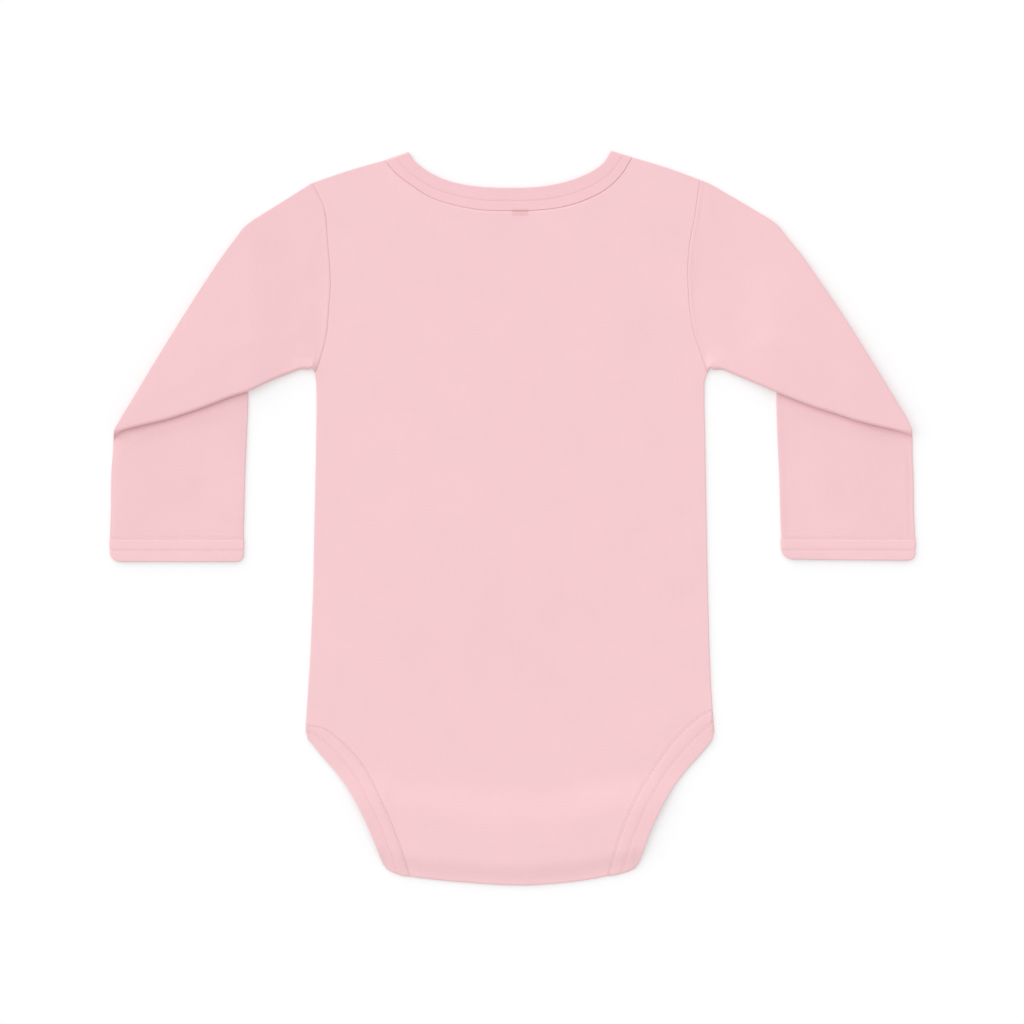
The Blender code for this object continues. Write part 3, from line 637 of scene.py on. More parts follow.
NEAR_FOLD = np.array((0.0, 0.01, 0.03, 0.07, 0.12, 0.19, 0.28, 0.4, 0.55, 0.8, 1.2))
TURN_STEPS = 8                    # stations round a turned edge
UNDER_RISE = 0.22                 # room for the stitches under a band
PLUMP = 0.12                      # a doubled band is this much thicker
rib = knitted("pink rib", (0.891, 0.565, 0.596), wale=0.95, course=0.8, relief=0.6)


def band_line(stations, across, radius):
    """A line along a band, at a share of the way across it, and its normals.

    The bow is greatest a little nearer to the free edge than half way.
    """
    points, normals = [], []
    for free, seam, bow, way, turn, level in stations:
        base = mix(free, seam, across)
        base[1] += bow * math.sin(math.pi * across ** 0.8)
        normal = np.array((*(way * math.sin(turn)), math.cos(turn)))
        height = level(*base) + UNDER_RISE * max(0.0, -math.cos(turn))
        points.append(np.array((*base, height)) + normal * radius)
        normals.append(normal)
    return np.array(points), np.array(normals)


def band(name, stations, width, relief, ring=False):
    """A strip of cloth from its free edge to its seam, through stations along it.

    Each station is (free edge, seam, bow between them, way out, turn, level), where
    level(x, y) is the height of its middle.  relief(away from the free edge) shapes
    the outside.
    """
    near_seam = width - NEAR_SEAM[:8][::-1]
    between = np.linspace(NEAR_FOLD[-1], near_seam[0], 28)[1:-1]
    aways = np.concatenate((NEAR_FOLD, between, near_seam))
    outside = np.array([band_line(stations, away / width, ROUND + relief(away))[0]
                        for away in aways])
    inside = np.array([band_line(stations, away / width, HOLLOW)[0] for away in aways])
    middle = outside[len(aways) // 2]
    steps = np.linalg.norm(np.diff(middle, axis=0, append=middle[:1]), axis=-1)
    run = np.concatenate(([0.0], np.cumsum(steps)))[:len(stations) + (1 if ring else 0)]
    knit = np.array([np.stack((run, np.full(len(run), away)), axis=-1) for away in aways])
    return sewn_cloth(name, outside, inside, knit, ring)


def on_table(x, y):
    return MID


THREAD = 0.26                     # thickness of sewing thread
THREAD_RISE = 0.04                # of its middle over the cloth
STITCH = 2.0                      # length of a stitch
STITCH_PITCH = 2.5                # from one stitch to the next
LEVEL = 0.9                       # no stitch is made where the cloth is steeper


def stitch_line(stations, width, away, relief):
    """Where a row of stitches lies on a band."""
    return band_line(stations, away / width, ROUND + relief(away) + THREAD_RISE)


def sewn_rows(name, rows, spun=None):
    """Rows of short stitches, each along a line of points with normals."""
    bm = bmesh.new()
    for points, normals in rows:
        steps = np.linalg.norm(np.diff(points, axis=0), axis=-1)
        run = np.concatenate(([0.0], np.cumsum(steps)))
        keep = np.concatenate(([True], steps > 1e-6))
        run, points, normals = run[keep], points[keep], normals[keep]
        for middle in np.arange(STITCH_PITCH / 2, run[-1], STITCH_PITCH):
            start, spot, end = (
                np.array([np.interp(at, run, points[:, axis]) for axis in range(3)])
                for at in (middle - STITCH / 2, middle, middle + STITCH / 2)
            )
            up = unit([np.interp(middle, run, normals[:, axis]) for axis in range(3)])
            if abs(up[2]) < LEVEL:
                continue
            run_way = unit(end - start)
            side_way = np.cross(up, run_way)
            up = np.cross(run_way, side_way)
            turn = Matrix(np.stack((run_way, side_way, up), axis=-1).tolist()).to_4x4()
            size = Matrix.Diagonal((STITCH / 2 * MM, THREAD / 2 * MM, THREAD / 2 * MM, 1.0))
            place = Matrix.Translation(Vector(spot * MM)) @ turn @ size
            bmesh.ops.create_uvsphere(bm, u_segments=6, v_segments=4, radius=1.0,
                                      matrix=place @ Matrix.Rotation(math.pi / 2, 4, "Y"))
    piece = piece_of(bm, name)
    piece.data.materials.append(spun or thread)
    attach(piece, "root")
    return piece


def spun_thread(name, colour):
    """Polyester sewing thread: two strands twisted, a little glossier than the cloth."""
    material, nodes, links, shader = new_material(name)
    shader.inputs["Base Color"].default_value = (*colour, 1.0)
    shader.inputs["Roughness"].default_value = 0.6
    shader.inputs["Sheen Weight"].default_value = 0.1
    spot = nodes.new("ShaderNodeTexCoord")
    twist = nodes.new("ShaderNodeTexWave")
    twist.bands_direction = "DIAGONAL"
    twist.inputs["Scale"].default_value = 900.0
    links.new(spot.outputs["Object"], twist.inputs["Vector"])
    add_relief(nodes, links, shader, twist.outputs["Fac"], 0.4, 0.00005)
    return material


thread = spun_thread("pink thread", (0.82, 0.51, 0.54))

NECK_BAND = 12.4                  # width of the neck band
NECK_STITCHES = 6.9               # row of stitches, in from the free edge


def neck_relief(away):
    row = dip(away - NECK_STITCHES, reach=0.5, depth=0.1)
    return PLUMP + rolled_in(away) + row + rolled_in(NECK_BAND - away, 0.5)


neck_stations = []
for is_front, hand in ((False, "right"), (True, "left")):
    names = ("low_free", "low_seam") if is_front else ("free", "seam")
    turn = math.pi if is_front else 0.0
    for share in NECK_SHARES * (-1 if is_front else 1):
        free, seam = (neck_line(part, share) for part in names)
        if abs(share) == 1:
            inward = shoulder_way("left" if share < 0 else "right") * ROUND
            free, seam = free - inward, seam - inward
        neck_stations.append((free, seam, 0.0, np.zeros(2), turn, on_table))
    out = shoulder_way(hand) * (-1 if is_front else 1)
    for step in range(1, TURN_STEPS):
        part_turn = turn + math.pi * step / TURN_STEPS
        neck_stations.append((free, seam, 0.0, out, part_turn, on_table))

neck = band("neck_band", neck_stations, NECK_BAND, neck_relief, ring=True)
neck.data.materials.append(rib)
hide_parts("neck_rib")
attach(neck, "root")

neck_loop = neck_stations + neck_stations[:1]
neck_row = stitch_line(neck_loop, NECK_BAND, NECK_STITCHES, neck_relief)
neck_sewing = sewn_rows("neck_stitches", [neck_row])

# Bar of stitches at the back of the neck -------------------------------------------
# A short close zigzag of thread sewn across the neck seam, a little browner than the
# other thread, which leaves a small darker patch there.

BAR_X = 4.4                       # its middle
BAR_LINES = (167.4, 169.4)        # the middles of its lower and upper stitches
BAR_RISE = (0.05, 0.14)           # how far each stands over the cloth
BAR_STITCHES = 13                 # in each of the two
BAR_STEP = 0.7                    # from one stitch to the next

bar_rows = []
for line, rise in zip(BAR_LINES, BAR_RISE):
    for count in range(BAR_STITCHES):
        x = BAR_X + (count - BAR_STITCHES / 2) * BAR_STEP
        lean = BAR_STEP / 2 if count % 2 else -BAR_STEP / 2
        half = STITCH_PITCH / 2
        ends = np.array(((x - lean, line - half), (x + lean, line + half)))
        height = back_height(ends[:, 0], ends[:, 1]) + ROUND + rise
        height = height + crease_height(BACK_CREASES, ends[:, 0], ends[:, 1])
        bar_rows.append((np.column_stack((ends, height)), np.array(((0.0, 0.0, 1.0),) * 2)))
brownish_thread = spun_thread("brownish pink thread", (0.83, 0.53, 0.52))
sewn_rows("neck_bar_stitches", bar_rows, brownish_thread)

# Leg bands ------------------------------------------------------------------------
# Strips of jersey folded over the raw edge of each leg opening and held by a double
# row of stitches.  Each runs under the tab, round the crotch fold, up the back,
# round the hip and down the front.

LEG_STITCHES = (7.1, 13.2)        # rows of stitches, in from the free edge
HIP_CORNER = 1.8                  # how far the corner at the hip is rounded
HIP_INSET = 0.24                  # how far its turned part stands in from the side


def double_row(away, rows, reach, puff):
    """Two rows of stitches, with the cloth a little puffed between them."""
    first, last = rows
    between = smooth(0.0, 2.0, away - first) * smooth(0.0, 2.0, last - away)
    return sum(dip(away - row, reach, depth=0.1) for row in rows) + puff * between


def leg_relief(away):
    sewn = double_row(away, LEG_STITCHES, reach=0.7, puff=0.12)
    return PLUMP + rolled_in(away) + sewn + rolled_in(LEG_BAND - away, 0.2, 0.6)


def leg_stations(hand):
    """Stations of a leg band, from under the tab to the front's flap."""
    out = np.array((-1.0 if hand == "left" else 1.0, 0.0))
    down, still = np.array((0.0, -1.0)), np.zeros(2)

    def crotch(up):
        """The band's ends and its bow so far up from the crotch fold."""
        free, seam = leg_edge(hand, 1.0), leg_seam(hand, 1.0)
        for end in (free, seam):
            end[1] = crotch_fold(end[0]) + up
            end[0] -= out[0] * TAB_TAPER * up / TAB_LENGTH
        return free, seam, crotch_fold((free[0] + seam[0]) / 2) + up - (free[1] + seam[1]) / 2

    furthest = [out[0] * line(hand, 0.0)[0] - ROUND - HIP_INSET for line in (leg_edge, leg_seam)]
    stations = [(*crotch(up), still, math.pi, back_height) for _, up, _ in reversed(TAB_ROWS)]
    for step in range(FOLD_STEPS, 0, -1):
        stations.append((*crotch(ROUND), down, math.pi * step / FOLD_STEPS, on_table))
    for is_front, rows in ((False, LEG_ROWS[::-1]), (True, LEG_ROWS)):
        for _, share, _ in rows:
            free, seam = leg_edge(hand, share, is_front), leg_seam(hand, share, is_front)
            bow = 0.0 if is_front else crotch(0.0)[2] * smooth(0.9, 1.0, share)
            if share == 1.0 and is_front:
                free[1], seam[1] = (crotch_fold(point[0]) + FLAP_START for point in (free, seam))
            elif share == 1.0:
                free, seam, bow = crotch(ROUND)
            for end, limit in zip((free, seam), furthest):
                end[0] = out[0] * min(out[0] * end[0], limit)
            level = front_height if is_front else back_height
            stations.append((free, seam, bow, still, math.pi * is_front, level))
        if not is_front:
            for step in range(1, TURN_STEPS):
                turn = math.pi * step / TURN_STEPS
                corner = free + (0.0, HIP_CORNER * (1.0 - abs(math.cos(turn))))
                stations.append((corner, seam, 0.0, out, turn, on_table))
    return stations


leg_jersey = knitted("pink jersey of the leg bands", (0.893, 0.578, 0.606),
                     wale=0.95, course=0.8, relief=0.6)

for hand in ("left", "right"):
    stations = leg_stations(hand)
    leg = band(f"leg_band_of_jersey_{hand}", stations, LEG_BAND, leg_relief)
    leg.data.materials.append(leg_jersey)
    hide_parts("leg_band_" + hand)
    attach(leg, "root")
    rows = [stitch_line(stations, LEG_BAND, row, leg_relief) for row in LEG_STITCHES]
    sewing = sewn_rows(f"leg_stitches_{hand}", rows)

# Sleeves --------------------------------------------------------------------------
# A tube of jersey set into each armhole and flattened.  At the elbow it folds under
# and then down again, so the forearm hangs straight beside the body.

TURN_RADIUS = 0.96                # middle of the flattened sleeve at a full turn
TURN_ARC = math.pi * TURN_RADIUS  # its length round that turn
STACK = 2 * TURN_RADIUS           # one flattened sleeve lying on another
PLEAT_START = 0.12                # share of the width over which the pleat opens
PLEAT_RUN = 1.2                   # shortest straight run between its two turns
PLEAT_SLIDE = 3.0                 # how far the underarm edge slides along the first turn
SOFT_BEND = 60.0                  # degrees of turn at the sleeve's outer edge
COVER = TURN_RADIUS + ROUND + 1.0  # how far the upper sleeve stays level past the pleat
PLEAT_WAY = np.array((-0.318, -0.948))  # square to the pleat, towards the cuff
ELBOW_WAY = np.array((0.12, -0.993))    # the same at the sleeve's outer edge
HIDDEN_WAY = np.array((-0.52, -0.854))  # and at the hidden fold
HIDDEN_CORNER = np.array((146.6, 93.0))  # inner end of the hidden fold
SAG = (119.0, 145.5)              # x over which the pleat comes off the table
GRAIN = (0.5, -0.866)             # the way the knit's columns run down the upper sleeve
ARM_RIDGE = 1.4                   # the cloth is fullest here, out from the armhole's seam
ARM_STITCHES = 2.6                # and the hidden stitches hold it down here
FAR = 100.0                       # too far from a seam to be shaped by it

# Outer outline of each sleeve, from the shoulder to the elbow, out from the middle
SLEEVE_TOP = table(
    "left_x left_y right_x right_y",
    (118.9, 179.3, 110.0, 183.4),
    (125.7, 175.0, 117.0, 179.2),
    (132.5, 170.7, 125.4, 174.4),
    (138.4, 167.0, 134.2, 169.0),
    (144.2, 163.2, 142.6, 163.9),
    (148.0, 160.0, 146.2, 161.0),
    (151.6, 155.2, 149.3, 156.8),
    (159.8, 144.1, 159.5, 144.1),
    (168.6, 130.9, 168.7, 130.9),
    (182.6, 108.9, 183.6, 108.9),
    (196.2, 86.9, 197.4, 86.9),
    (209.4, 64.9, 210.9, 64.9),
    (216.1, 53.9, 217.2, 54.3),
    (219.0, 48.8, 219.4, 49.4),
)
# Where the sleeve turns under: the lowest line of the upper sleeve
PLEAT_EDGE = table(
    "left_x left_y right_x right_y",
    (219.0, 47.0, 217.8, 46.8),
    (210.7, 49.4, 206.3, 49.5),
    (202.4, 51.5, 199.0, 51.2),
    (192.0, 53.9, 187.9, 54.1),
    (177.7, 58.3, 176.9, 57.8),
    (163.9, 63.3, 165.9, 61.2),
    (153.5, 67.3, 154.8, 65.4),
    (145.3, 69.8, 145.0, 69.3),
    (132.1, 75.9, 132.0, 74.8),
    (121.2, 80.2, 119.8, 79.9),
    (114.8, 82.4, 113.5, 82.3),
    (110.6, 82.3, 109.4, 82.2),
)
# Forearm: its two edges, from the elbow to the cuff seam
FOREARM = table(
    "y       left_outer left_inner right_outer right_inner",
    (93.0, 219.3, 145.3, 219.2, 145.0),
    (69.3, 219.4, 145.3, 219.3, 145.1),
    (43.0, 219.9, 146.3, 219.8, 145.8),
    (21.0, 220.9, 147.2, 220.7, 146.8),
    (4.4, 221.1, 147.6, 220.9, 147.2),
    (-9.8, 221.5, 148.0, 221.5, 147.8),
)
# Soft creases, as on the back, with x out from the middle of the garment
SLEEVE_CREASES = {
    "left": (
        (132, 92, 111, 108, 7.0, 0.32),
        (104, 115, 106, 101, 2.2, -0.2),
        (109, 88.5, 124, 87.5, 1.8, -0.16),
        (112, 93, 121, 92, 1.8, 0.12),
        (115, 96, 123, 101, 2.2, -0.14),
        (112, 98, 138, 118, 5.0, 0.16),
        (116, 92, 150, 92, 4.5, -0.16),
        (106, 160, 118, 132, 5.0, 0.1),
        (150, 80, 186, 66, 6.0, -0.12),
        (186, 74, 208, 58, 5.0, 0.12),
        (150, 120, 176, 92, 9.0, 0.12),
        (160, 30, 205, 16, 9.0, 0.12),
        (152, 52, 158, 10, 5.0, -0.1),
        (208, 45, 146, 64.5, 3.2, 0.5),
    ),
    "right": (
        (104, 122, 112, 95, 7.0, 0.42),
        (104, 114, 112, 98, 2.2, -0.2),
        (112, 94, 122, 90, 2.0, -0.14),
        (118, 108, 130, 98, 3.2, -0.12),
        (112, 96, 136, 112, 5.0, 0.16),
        (114, 90, 148, 88, 4.5, -0.14),
        (104, 182, 110, 158, 3.0, 0.22),
        (152, 80, 182, 68, 6.0, -0.12),
        (184, 76, 206, 60, 5.0, 0.12),
        (150, 124, 178, 96, 9.0, 0.12),
        (162, 38, 204, 18, 9.0, 0.1),
        (156, 40, 162, 0, 5.0, -0.12),
        (204, 45.3, 146, 63.6, 3.0, 0.5),
    ),
}
# Shares of the sleeve's width from its outer edge in, and rows down it
SLEEVE_WIDTH = np.concatenate((
    np.linspace(0, 0.16, 26), np.linspace(0.16, 0.88, 24)[1:], np.linspace(0.88, 1, 14)[1:]
))
UPPER_ROWS = np.concatenate((NEAR_SEAM / 110, np.linspace(0.06, 1, 52)))
TURN_ROWS = 12                    # rows round each turn of the fold
HIDDEN_ROWS = np.linspace(0, 1, 15)[1:]
FOREARM_ROWS = np.concatenate((np.linspace(0, 0.97, 42)[1:], 1 - NEAR_SEAM[:9][::-1] / 100))
EDGE_TURNS = np.radians(np.linspace(0, 180, 19)[1:-1])
UP = np.array((0.0, 0.0, 1.0))


def away_from_triangle(points, corners):
    """How far points are from a triangle, 0 inside it."""
    crosses, nearest = [], np.full(points.shape[:-1], np.inf)
    for start, end in zip(corners, corners[1:] + corners[:1]):
        edge, offset = end - start, points - start
        crosses.append(edge[0] * offset[..., 1] - edge[1] * offset[..., 0])
        share = np.clip((offset @ edge) / (edge @ edge), 0.0, 1.0)
        nearest = np.minimum(nearest, np.linalg.norm(offset - share[..., None] * edge, axis=-1))
    within = (np.min(crosses, axis=0) >= 0) | (np.max(crosses, axis=0) <= 0)
    return np.where(within, 0.0, nearest)


def raised(height, flat):
    """Heights and normals of a surface that is given by its height over the table."""
    step = 0.3
    east, north = np.array((step, 0.0)), np.array((0.0, step))
    slope_x = (height(flat + east) - height(flat - east)) / (2 * step)
    slope_y = (height(flat + north) - height(flat - north)) / (2 * step)
    normals = unit(np.stack((-slope_x, -slope_y, np.ones_like(slope_x)), axis=-1))
    return height(flat), normals


def turned_over(normals, way, turn):
    """Normals that turn with the cloth, by `turn` towards way."""
    flat_way = np.concatenate((way, np.zeros((len(way), 1))), axis=-1)
    return unit(normals * np.cos(turn)[:, None] + flat_way * np.sin(turn)[:, None])


def column(values):
    return values[:, None]


def sleeve_middle(hand):
    """Points and normals through the middle of the flattened sleeve, as rows.

    Worked out for a sleeve at +X: down the upper sleeve, round the pleat's first
    turn, back under it, round the second turn and down the forearm.
    """
    share = SLEEVE_WIDTH
    arm_x, arm_y = (-1 if hand == "left" else 1) * ARMHOLE[hand + "_x"], ARMHOLE[hand + "_y"]
    top_x = np.concatenate(([arm_x[0]], SLEEVE_TOP[hand + "_x"]))
    top_y = np.concatenate(([arm_y[0]], SLEEVE_TOP[hand + "_y"]))

    def outer_edge(at):
        before, after = max(0.0, at - 0.01), min(1.0, at + 0.01)
        run = unit(along(top_x, top_y, after) - along(top_x, top_y, before))
        return along(top_x, top_y, at) + np.array((run[1], -run[0])) * ROUND

    seam = along(arm_x, arm_y, edge_share(share)) + (SEAM_GAP / 2, 0)
    arm_fine = along(arm_x, arm_y, np.linspace(0, 1, 80)) + (SEAM_GAP / 2, 0)
    elbow, armpit = outer_edge(1.0), seam[-1]
    pleat = along(PLEAT_EDGE[hand + "_x"], PLEAT_EDGE[hand + "_y"], share)
    pleat = pleat - PLEAT_WAY * (TURN_RADIUS + ROUND)
    pleat = mix(elbow, pleat, column(smooth(0.0, 0.05, share)))
    corner = pleat[-1]
    bend = np.array((armpit[0] + 0.4, corner[1]))
    slide = np.array((-PLEAT_WAY[1], PLEAT_WAY[0])) * PLEAT_SLIDE

    opening = smooth(0.0, PLEAT_START, share)
    full_turn = np.radians(mix(SOFT_BEND, 180.0, opening))
    fall = 1 - np.cos(full_turn)
    run_fall = np.clip(2 * (STACK - TURN_RADIUS * fall), 0.0, PLEAT_RUN * np.sin(full_turn))
    widest = np.minimum(TURN_ARC / full_turn, (2 * STACK - run_fall) / (2 * fall))
    radius = np.maximum(TURN_RADIUS, widest)
    first_way = unit(mix(ELBOW_WAY, PLEAT_WAY, column(opening)))
    second_way = unit(mix(ELBOW_WAY, HIDDEN_WAY, column(opening)))
    open_share = np.maximum(0.0, (share - PLEAT_START) / (1 - PLEAT_START))
    hidden = column(open_share) * (HIDDEN_CORNER - corner - slide)
    hidden = hidden + first_way * column(PLEAT_RUN * np.cos(full_turn))
    closed = share < PLEAT_START

    def under_height(flat):
        return MID + STACK * smooth(*SAG, flat[..., 0])

    def top_height(flat):
        reach = mix(ROUND, COVER, smooth(*SAG, flat[..., 0]))
        near = np.maximum(0.0, away_from_triangle(flat, [elbow, corner, HIDDEN_CORNER]) - reach)
        far = np.linalg.norm(flat[..., None, :] - arm_fine, axis=-1).min(axis=-1)
        full = under_height(flat) + STACK - MID
        return MID + full * smooth(0.0, 1.0, far / (far + near + 1e-6))

    points, normals = [], []

    def add(flat, height, normal):
        points.append(np.concatenate((flat, column(height)), axis=-1))
        normals.append(normal)

    for row in UPPER_ROWS:
        inner = mix(mix(armpit, bend, row), mix(bend, corner, row), row)
        flat = mix(outer_edge(row), inner, column(share))
        flat = flat + (1 - row) * (seam - mix(outer_edge(0.0), armpit, column(share)))
        flat = flat + row * (pleat - mix(elbow, corner, column(share)))
        add(flat, *raised(top_height, flat))
    top, upward = points[-1][:, 2], normals[-1]
    for step in range(1, TURN_ROWS + 1):
        turn = full_turn * step / TURN_ROWS
        flat = pleat + first_way * column(radius * np.sin(turn))
        flat = flat + column(share) * slide * step / TURN_ROWS
        add(flat, top - radius * (1 - np.cos(turn)), turned_over(upward, first_way, turn))
    base, under, under_normal = flat, points[-1][:, 2], normals[-1]
    for row in HIDDEN_ROWS:
        flat = base + hidden * row
        sunk = mix(under, MID + radius * fall, row)
        laid, laid_normal = raised(under_height, flat)
        normal = np.where(column(closed), under_normal, -laid_normal)
        add(flat, np.where(closed, sunk, laid), normal)
    base, upright = flat, np.tile(UP, (len(share), 1))
    for step in range(1, TURN_ROWS + 1):
        turn = full_turn * (1 - step / TURN_ROWS)
        flat = base + second_way * column(radius * (np.sin(full_turn) - np.sin(turn)))
        add(flat, MID + radius * (1 - np.cos(turn)), turned_over(upright, second_way, turn))
    base = flat
    for row in FOREARM_ROWS:
        y = mix(base[:, 1], FOREARM["y"][-1] + SEAM_GAP, row)
        outer = through(FOREARM["y"], FOREARM[hand + "_outer"], y) - ROUND
        inner = through(FOREARM["y"], FOREARM[hand + "_inner"], y) + ROUND
        x = mix(base[:, 0], mix(outer, inner, share), smooth(0.0, 0.3, row))
        add(np.stack((x, y), axis=-1), np.full(len(share), MID), upright)
    return np.array(points), np.array(normals)


def sleeve_relief(hand, points):
    """How the sleeve's two sides are shaped at its seams, and its creases on top."""
    upper, forearm = len(UPPER_ROWS), len(FOREARM_ROWS)
    seam_away = np.linalg.norm(points - points[:1], axis=-1)
    seam_away[upper:] = FAR
    cuff_away = np.full(points.shape[:2], FAR)
    cuff_away[-forearm:] = points[-forearm:, :, 1] - FOREARM["y"][-1]
    groove = rolled_in(seam_away, 0.3, 0.9) + rolled_in(cuff_away, 0.12)
    groove -= dip(seam_away - ARM_RIDGE, reach=0.9, depth=0.12)
    groove += dip(seam_away - ARM_STITCHES, reach=0.5, depth=0.1)
    calm = smooth(1.5, 7.0, seam_away) * smooth(0.0, 12.0, cuff_away)
    calm = calm * smooth(0.0, 0.06, SLEEVE_WIDTH) * smooth(0.0, 0.06, 1 - SLEEVE_WIDTH)
    calm[:upper] *= column(smooth(0.0, 8.0, np.arange(upper)[::-1]))
    calm[upper:-forearm] = 0.0
    calm[-forearm:] *= column(smooth(0.0, 8.0, np.arange(forearm)))
    return groove, crease_height(SLEEVE_CREASES[hand], points[..., 0], points[..., 1]) * calm


def round_tube(points, normals, over, under, edge_radius):
    """The rows of a flattened tube: its top, inner edge, underside and outer edge."""
    steps = unit(np.diff(points, axis=0))
    down = unit(np.concatenate((steps[:1], steps)) + np.concatenate((steps, steps[-1:])))
    outward = unit(np.cross(down, normals))
    edges = []
    for index, way, turns in ((-1, 1, EDGE_TURNS), (0, -1, EDGE_TURNS[::-1])):
        up_way, out_way = normals[:, index], way * outward[:, index]
        radius = column(edge_radius[:, index])
        rolls = [roll(turn) for turn in turns]
        edges.append(np.stack([
            points[:, index] + radius * (up_way * up + out_way * out) for out, up in rolls
        ], axis=1))
    top_side, under_side = points + normals * over[..., None], points - normals * under[..., None]
    return np.concatenate((top_side, edges[0], under_side[:, ::-1], edges[1]), axis=1)


def sleeve_knit(points):
    """Places on the flat cloth, with the knit's columns along the upper sleeve's grain."""
    upper = len(UPPER_ROWS)
    grain = points[:upper, :, :2] @ np.array((GRAIN, (-GRAIN[1], GRAIN[0]))).T
    after = np.cumsum(np.linalg.norm(np.diff(points[upper - 1:], axis=0), axis=-1), axis=0)
    down = np.concatenate((grain[..., 0], grain[-1, :, 0] + after))
    across = np.concatenate((grain[..., 1], np.repeat(grain[-1:, :, 1], len(after), axis=0)))
    turn = np.sin(EDGE_TURNS) * ROUND * np.sign(math.pi / 2 - EDGE_TURNS)
    return np.concatenate((
        np.stack((-across, -down), axis=-1),
        np.stack((-across[:, -1:] + turn, -down[:, -1:] + 0 * turn), axis=-1),
        np.stack((across[:, ::-1], -down[:, ::-1]), axis=-1),
        np.stack((across[:, :1] + turn, -down[:, :1] + 0 * turn), axis=-1),
        np.stack((-across[:, :1], -down[:, :1]), axis=-1),
    ), axis=1)


def sleeve(hand):
    points, normals = sleeve_middle(hand)
    groove, soft = sleeve_relief(hand, points)
    radius, hollow = ROUND + groove, np.full(points.shape[:2], HOLLOW)
    side = (-1 if hand == "left" else 1, 1, 1)
    outside = round_tube(points, normals, radius + soft, radius, radius) * side
    inside = round_tube(points, normals, hollow, hollow, hollow) * side
    return sewn_cloth(f"sleeve_of_jersey_{hand}", outside, inside, sleeve_knit(points), ring=True)


sleeve_jersey = knitted("pink jersey of the sleeves", (0.877, 0.568, 0.594))

for hand in ("left", "right"):
    tube = sleeve(hand)
    tube.data.materials.append(sleeve_jersey)
    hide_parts("sleeve_" + hand)
    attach(tube, "root")

# Cuffs ----------------------------------------------------------------------------
# A short ring of jersey folded double at each wrist.  It is sewn to the end of the
# sleeve, and two rows of stitches hold the seam and the raw edge down inside.

CUFF = {"left": 14.0, "right": 13.4}  # depth of each cuff band
CUFF_ROUND = 0.95                 # it is doubled, so it is a little thicker
CUFF_MIDDLE = 1.12                # height of its middle
CUFF_PLUMP = 0.08                 # how full it is
CUFF_FLARE = 0.25                 # how far it stands out past the sleeve at the seam
CUFF_TAPER = 0.2                  # how far it comes in again at its end
CUFF_SLANT = {"left": -0.1, "right": 0.6}  # how much shorter it is at its inner edge
CUFF_STITCHES = (1.3, 7.6)        # rows of stitches, down from its seam
CUFF_CORNERS = {"left": (5.5, 4.2), "right": (4.3, 7.0)}  # radius, outer and inner


def cuff_ring(hand, down, radius):
    """One row round a cuff, and its normals."""
    sign = -1 if hand == "left" else 1
    edges = []
    for key, way, corner in zip(("outer", "inner"), (1, -1), CUFF_CORNERS[hand]):
        left = max(0.0, corner - (CUFF[hand] - down))
        rounded = corner - math.sqrt(max(0.0, corner ** 2 - left ** 2))
        flare = CUFF_FLARE * smooth(0.0, 1.5, down) - CUFF_TAPER * down / CUFF[hand]
        edges.append(FOREARM[f"{hand}_{key}"][-1] + way * (flare - rounded - CUFF_ROUND))
    share = SLEEVE_WIDTH
    turn = np.concatenate((0 * share, EDGE_TURNS, 0 * share + math.pi, EDGE_TURNS[::-1]))
    way = np.concatenate((0 * share, 0 * EDGE_TURNS - 1, 0 * share, 0 * EDGE_TURNS + 1))
    across = np.concatenate((share, 0 * EDGE_TURNS + 1, share[::-1], 0 * EDGE_TURNS))
    x = mix(edges[0], edges[1], across)
    out, up = roll(turn)
    normals = np.stack((sign * way * out, 0 * turn, up), axis=-1)
    y = FOREARM["y"][-1] - down + CUFF_SLANT[hand] * down / CUFF[hand] * across
    middle = np.stack((sign * x, y, 0 * turn + CUFF_MIDDLE), axis=-1)
    return middle + normals * radius, normals


def cuff_relief(down, hand):
    sewn = double_row(down, CUFF_STITCHES, reach=0.6, puff=0.1)
    return CUFF_PLUMP + rolled_in(down, 0.15) + sewn + rolled_in(CUFF[hand] - down, 0.7)


cuff_jersey = knitted("pink jersey of the cuffs", (0.902, 0.586, 0.614),
                      wale=0.95, course=0.8, relief=0.6)

for hand in ("left", "right"):
    near_end = CUFF[hand] - NEAR_FOLD[::-1]
    between = np.linspace(NEAR_SEAM[7], near_end[0], 30)[1:-1]
    depths = np.concatenate((NEAR_SEAM[:8], between, near_end))
    outside = np.array([cuff_ring(hand, down, CUFF_ROUND + cuff_relief(down, hand))[0]
                        for down in depths])
    inside = np.array([cuff_ring(hand, down, HOLLOW)[0] for down in depths])
    closed = np.concatenate((outside[0], outside[0, :1]))
    run = np.concatenate(([0.0], np.cumsum(np.linalg.norm(np.diff(closed, axis=0), axis=-1))))
    knit = np.array([np.stack((run, np.full(len(run), -down)), axis=-1) for down in depths])
    cuff = sewn_cloth(f"cuff_of_jersey_{hand}", outside, inside, knit, ring=True)
    cuff.data.materials.append(cuff_jersey)
    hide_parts("cuff_band_" + hand)
    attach(cuff, "root")
    rows = []
    for down in CUFF_STITCHES:
        radius = CUFF_ROUND + cuff_relief(down, hand) + THREAD_RISE
        points, normals = cuff_ring(hand, down, radius)
        rows.append((np.concatenate((points, points[:1])), np.concatenate((normals, normals[:1]))))
    sewing = sewn_rows(f"cuff_stitches_{hand}", rows)

# Snaps ----------------------------------------------------------------------------
# Three fastened press studs across the flap, seen from below.  Each is a stamped
# metal cap with a rolled rim and a shallow dish, enamelled to go with the cloth.

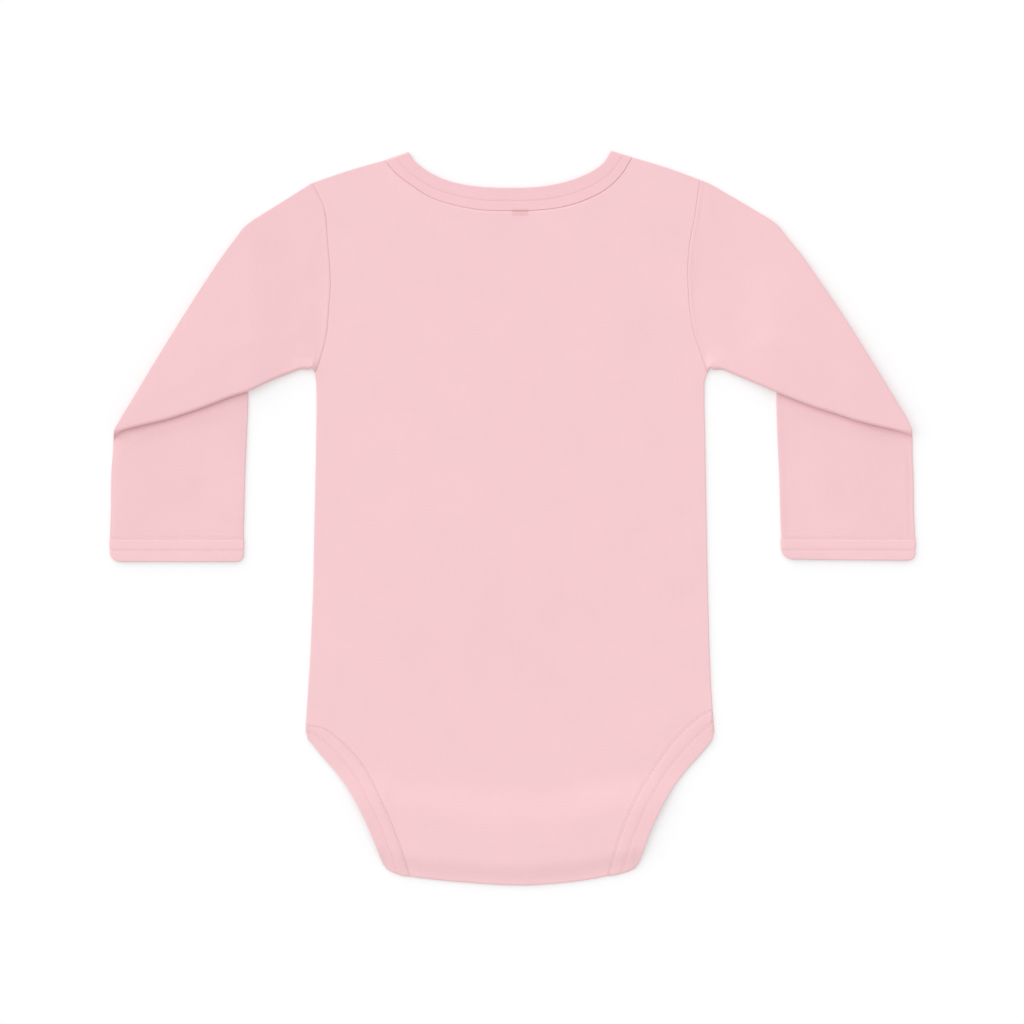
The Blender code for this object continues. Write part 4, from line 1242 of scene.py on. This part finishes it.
SNAP_LINE = 23.5                  # up from the crotch fold
SNAP_PITCH = 34.0                 # from one to the next
SNAP_STEPS = 48                   # facets round a cap
SNAP_OUTLINE = table(             # from the middle to the rim and up to the cloth
    "radius height",
    (0.0, 0.42),
    (1.6, 0.42),
    (2.3, 0.34),
    (2.9, 0.12),
    (3.6, 0.0),
    (4.3, 0.02),
    (4.8, 0.18),
    (5.0, 0.45),
    (4.8, 0.72),
    (4.2, 0.88),
    (0.0, 0.88),
)

enamel, nodes, links, shader = new_material("pale pink enamel")
shader.inputs["Roughness"].default_value = 0.32
shader.inputs["Coat Weight"].default_value = 0.4
spot = nodes.new("ShaderNodeTexCoord")
wear = nodes.new("ShaderNodeTexNoise")
wear.inputs["Scale"].default_value = 900.0
tone = nodes.new("ShaderNodeValToRGB")
tone.color_ramp.elements[0].color = (0.78, 0.50, 0.53, 1.0)
tone.color_ramp.elements[1].color = (0.86, 0.58, 0.61, 1.0)
links.new(spot.outputs["Object"], wear.inputs["Vector"])
links.new(wear.outputs["Fac"], tone.inputs[0])
links.new(tone.outputs[0], shader.inputs["Base Color"])

for number in (1, 2, 3):
    x = NECK_X + (number - 2) * SNAP_PITCH
    middle = Vector((x, crotch_fold(x) + SNAP_LINE, 0.0)) * MM
    bm = bmesh.new()
    outline = [bm.verts.new(Vector((radius, 0.0, height)) * MM + middle)
               for radius, height in zip(*SNAP_OUTLINE.values())]
    edges = [bm.edges.new(pair) for pair in zip(outline[:-1], outline[1:])]
    bmesh.ops.spin(bm, geom=outline + edges, cent=middle, axis=(0, 0, 1),
                   angle=2 * math.pi, steps=SNAP_STEPS, use_merge=True)
    bmesh.ops.remove_doubles(bm, verts=bm.verts[:], dist=1e-7)
    bmesh.ops.recalc_face_normals(bm, faces=bm.faces[:])
    cap = piece_of(bm, f"snap_cap_{number}")
    cap.data.materials.append(enamel)
    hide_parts(f"snap_{number}")
    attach(cap, "root")

# Table, light and camera ----------------------------------------------------------
# The garment lies on a plain white light table, an acrylic top lit softly from below,
# under soft light from the upper left.

TABLE_HALF = 4.0                  # metres from its middle to its edge
LIGHT_FROM = (-0.62, 0.75, 1.0)   # the way to the light

bm = bmesh.new()
bmesh.ops.create_grid(bm, x_segments=1, y_segments=1, size=TABLE_HALF)
table_top = piece_of(bm, "table_top")
white, _, _, shader = new_material("white acrylic")
shader.inputs["Base Color"].default_value = (0.685, 0.685, 0.685, 1.0)
shader.inputs["Roughness"].default_value = 0.9
shader.inputs["Emission Color"].default_value = (1.0, 1.0, 1.0, 1.0)
shader.inputs["Emission Strength"].default_value = 0.262
table_top.data.materials.append(white)

world = bpy.data.worlds.new("studio")
world.use_nodes = True
world.node_tree.nodes["Background"].inputs["Color"].default_value = (1.0, 1.0, 1.0, 1.0)
world.node_tree.nodes["Background"].inputs["Strength"].default_value = 0.69
bpy.context.scene.world = world

key = bpy.data.objects.new("key_light", bpy.data.lights.new("key_light", "SUN"))
key.data.energy = 1.7
key.data.angle = math.radians(90)
key.rotation_euler = Vector(LIGHT_FROM).to_track_quat("Z", "Y").to_euler()
bpy.context.scene.collection.objects.link(key)

PIXEL = 0.55                      # what one pixel of the frame covers on the cloth
CLOTH_LEVEL = 2.0                 # usual height of the cloth's top
VIEW_MIDDLE = (-0.27, 3.57)
FRAME = 1024                      # pixels across the frame
LENS = 150.0
SENSOR = 36.0
camera = bpy.data.objects.new("camera", bpy.data.cameras.new("camera"))
camera.data.lens = LENS
camera.data.sensor_width = SENSOR
camera.data.clip_end = 50.0
height = CLOTH_LEVEL + FRAME * PIXEL * LENS / SENSOR
camera.location = [at * MM for at in (*VIEW_MIDDLE, height)]
bpy.context.scene.collection.objects.link(camera)
bpy.context.scene.camera = camera
bpy.context.scene.view_settings.view_transform = "Standard"
